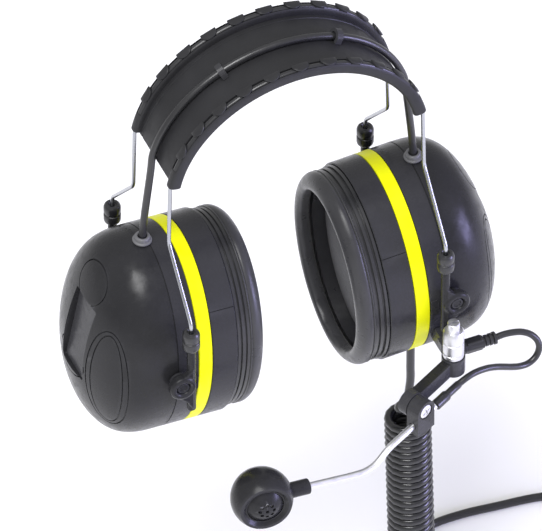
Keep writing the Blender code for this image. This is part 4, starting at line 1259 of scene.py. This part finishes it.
def carry_over():
    """Gives each CAD node that stays its finish and round edges."""
    for name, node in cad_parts.items():
        if node.hide_render:
            continue
        found = [key for key in KEPT_NODES if name.endswith(key)]
        slot, width = KEPT_NODES[found[-1]]
        node.data.materials.clear()
        node.data.materials.append(FINISHES[slot])
        soften(node, width)


# ---- stage

def camera():
    data = bpy.data.cameras.new("camera")
    data.lens = LENS
    data.sensor_width = SENSOR
    distance = VIEW_WIDTH * LENS / SENSOR
    data.clip_start = 0.1
    data.clip_end = 60.0
    obj = new_object("camera", data)
    towards = VIEW_TOWARDS_CAMERA.normalized()
    obj.location = (VIEW_TARGET + towards * distance) * MM
    obj.rotation_mode = "QUATERNION"
    obj.rotation_quaternion = (-towards).to_track_quat("-Z", "Y")
    bpy.context.scene.camera = obj


def area_light(name, direction, distance, size, power, colour):
    data = bpy.data.lights.new(name, "AREA")
    data.size = size
    data.energy = power
    data.color = colour
    obj = new_object(name, data)
    obj.location = Vector(direction).normalized() * distance
    obj.rotation_mode = "QUATERNION"
    obj.rotation_quaternion = (-obj.location).to_track_quat("-Z", "Y")
    return obj


def floor():
    mesh = bmesh.new()
    bmesh.ops.create_grid(mesh, x_segments=8, y_segments=8, size=FLOOR_HALF_SIZE)
    bmesh.ops.translate(mesh, vec=(0, 0, FLOOR_Z), verts=mesh.verts)
    obj = new_object("floor", finished_mesh(mesh))
    pale = finish("pale_floor", (0.86, 0.86, 0.86), 0.9, mottle=0.01, mottle_scale=3.0, grain_scale=300.0)
    obj.data.materials.append(pale)


# Name, direction towards the light, distance, size, power and colour.
STUDIO_LIGHTS = (
    ("key", (-0.35, -0.35, 1.0), 2.6, 1.2, 72, (1.0, 1.0, 1.0)),
    ("violet_fill", (0.8, -0.6, 0.12), 1.8, 0.7, 30, (0.56, 0.53, 1.0)),
    ("front", (-0.45, -0.85, 0.3), 2.4, 1.2, 20, (1.0, 1.0, 1.0)),
)


def lights():
    """White surroundings and three lights. The last lights the front without showing in gloss."""
    world = bpy.data.worlds.new("studio")
    world.use_nodes = True
    background = world.node_tree.nodes["Background"]
    background.inputs["Color"].default_value = (1.0, 1.0, 1.0, 1)
    background.inputs["Strength"].default_value = 0.66
    bpy.context.scene.world = world
    made = [area_light(*light) for light in STUDIO_LIGHTS]
    made[-1].visible_glossy = False
    bpy.context.scene.view_settings.view_transform = "Standard"


def build_cup(ear):
    outer_shell(ear)
    band_and_inner_shell(ear)
    cup_ring(ear, "seal_ring", SEAL_STATIONS, "black_rubber", "cushion_ring")
    ear_cushion(ear)
    ear_foam(ear)
    cable_grommet(ear)
    for end in ENDS:
        pivot_pin(ear, end)
        stop_boss(ear, end)
        fastener(ear, end)
        collar(ear, end)


def main():
    camera()
    main_cord(cord_gland())
    headband_cable()
    mic_cable()
    strap()
    for end in ENDS:
        spring_wire(end)
        edge_sleeve(end)
        wire_tabs(end)
    for ear in SIDES:
        build_cup(ear)
    boom_post()
    mic_plug()
    clamp_screw()
    boom_tube()
    mic_housing()
    mic_grille()
    carry_over()
    floor()
    lights()


main()
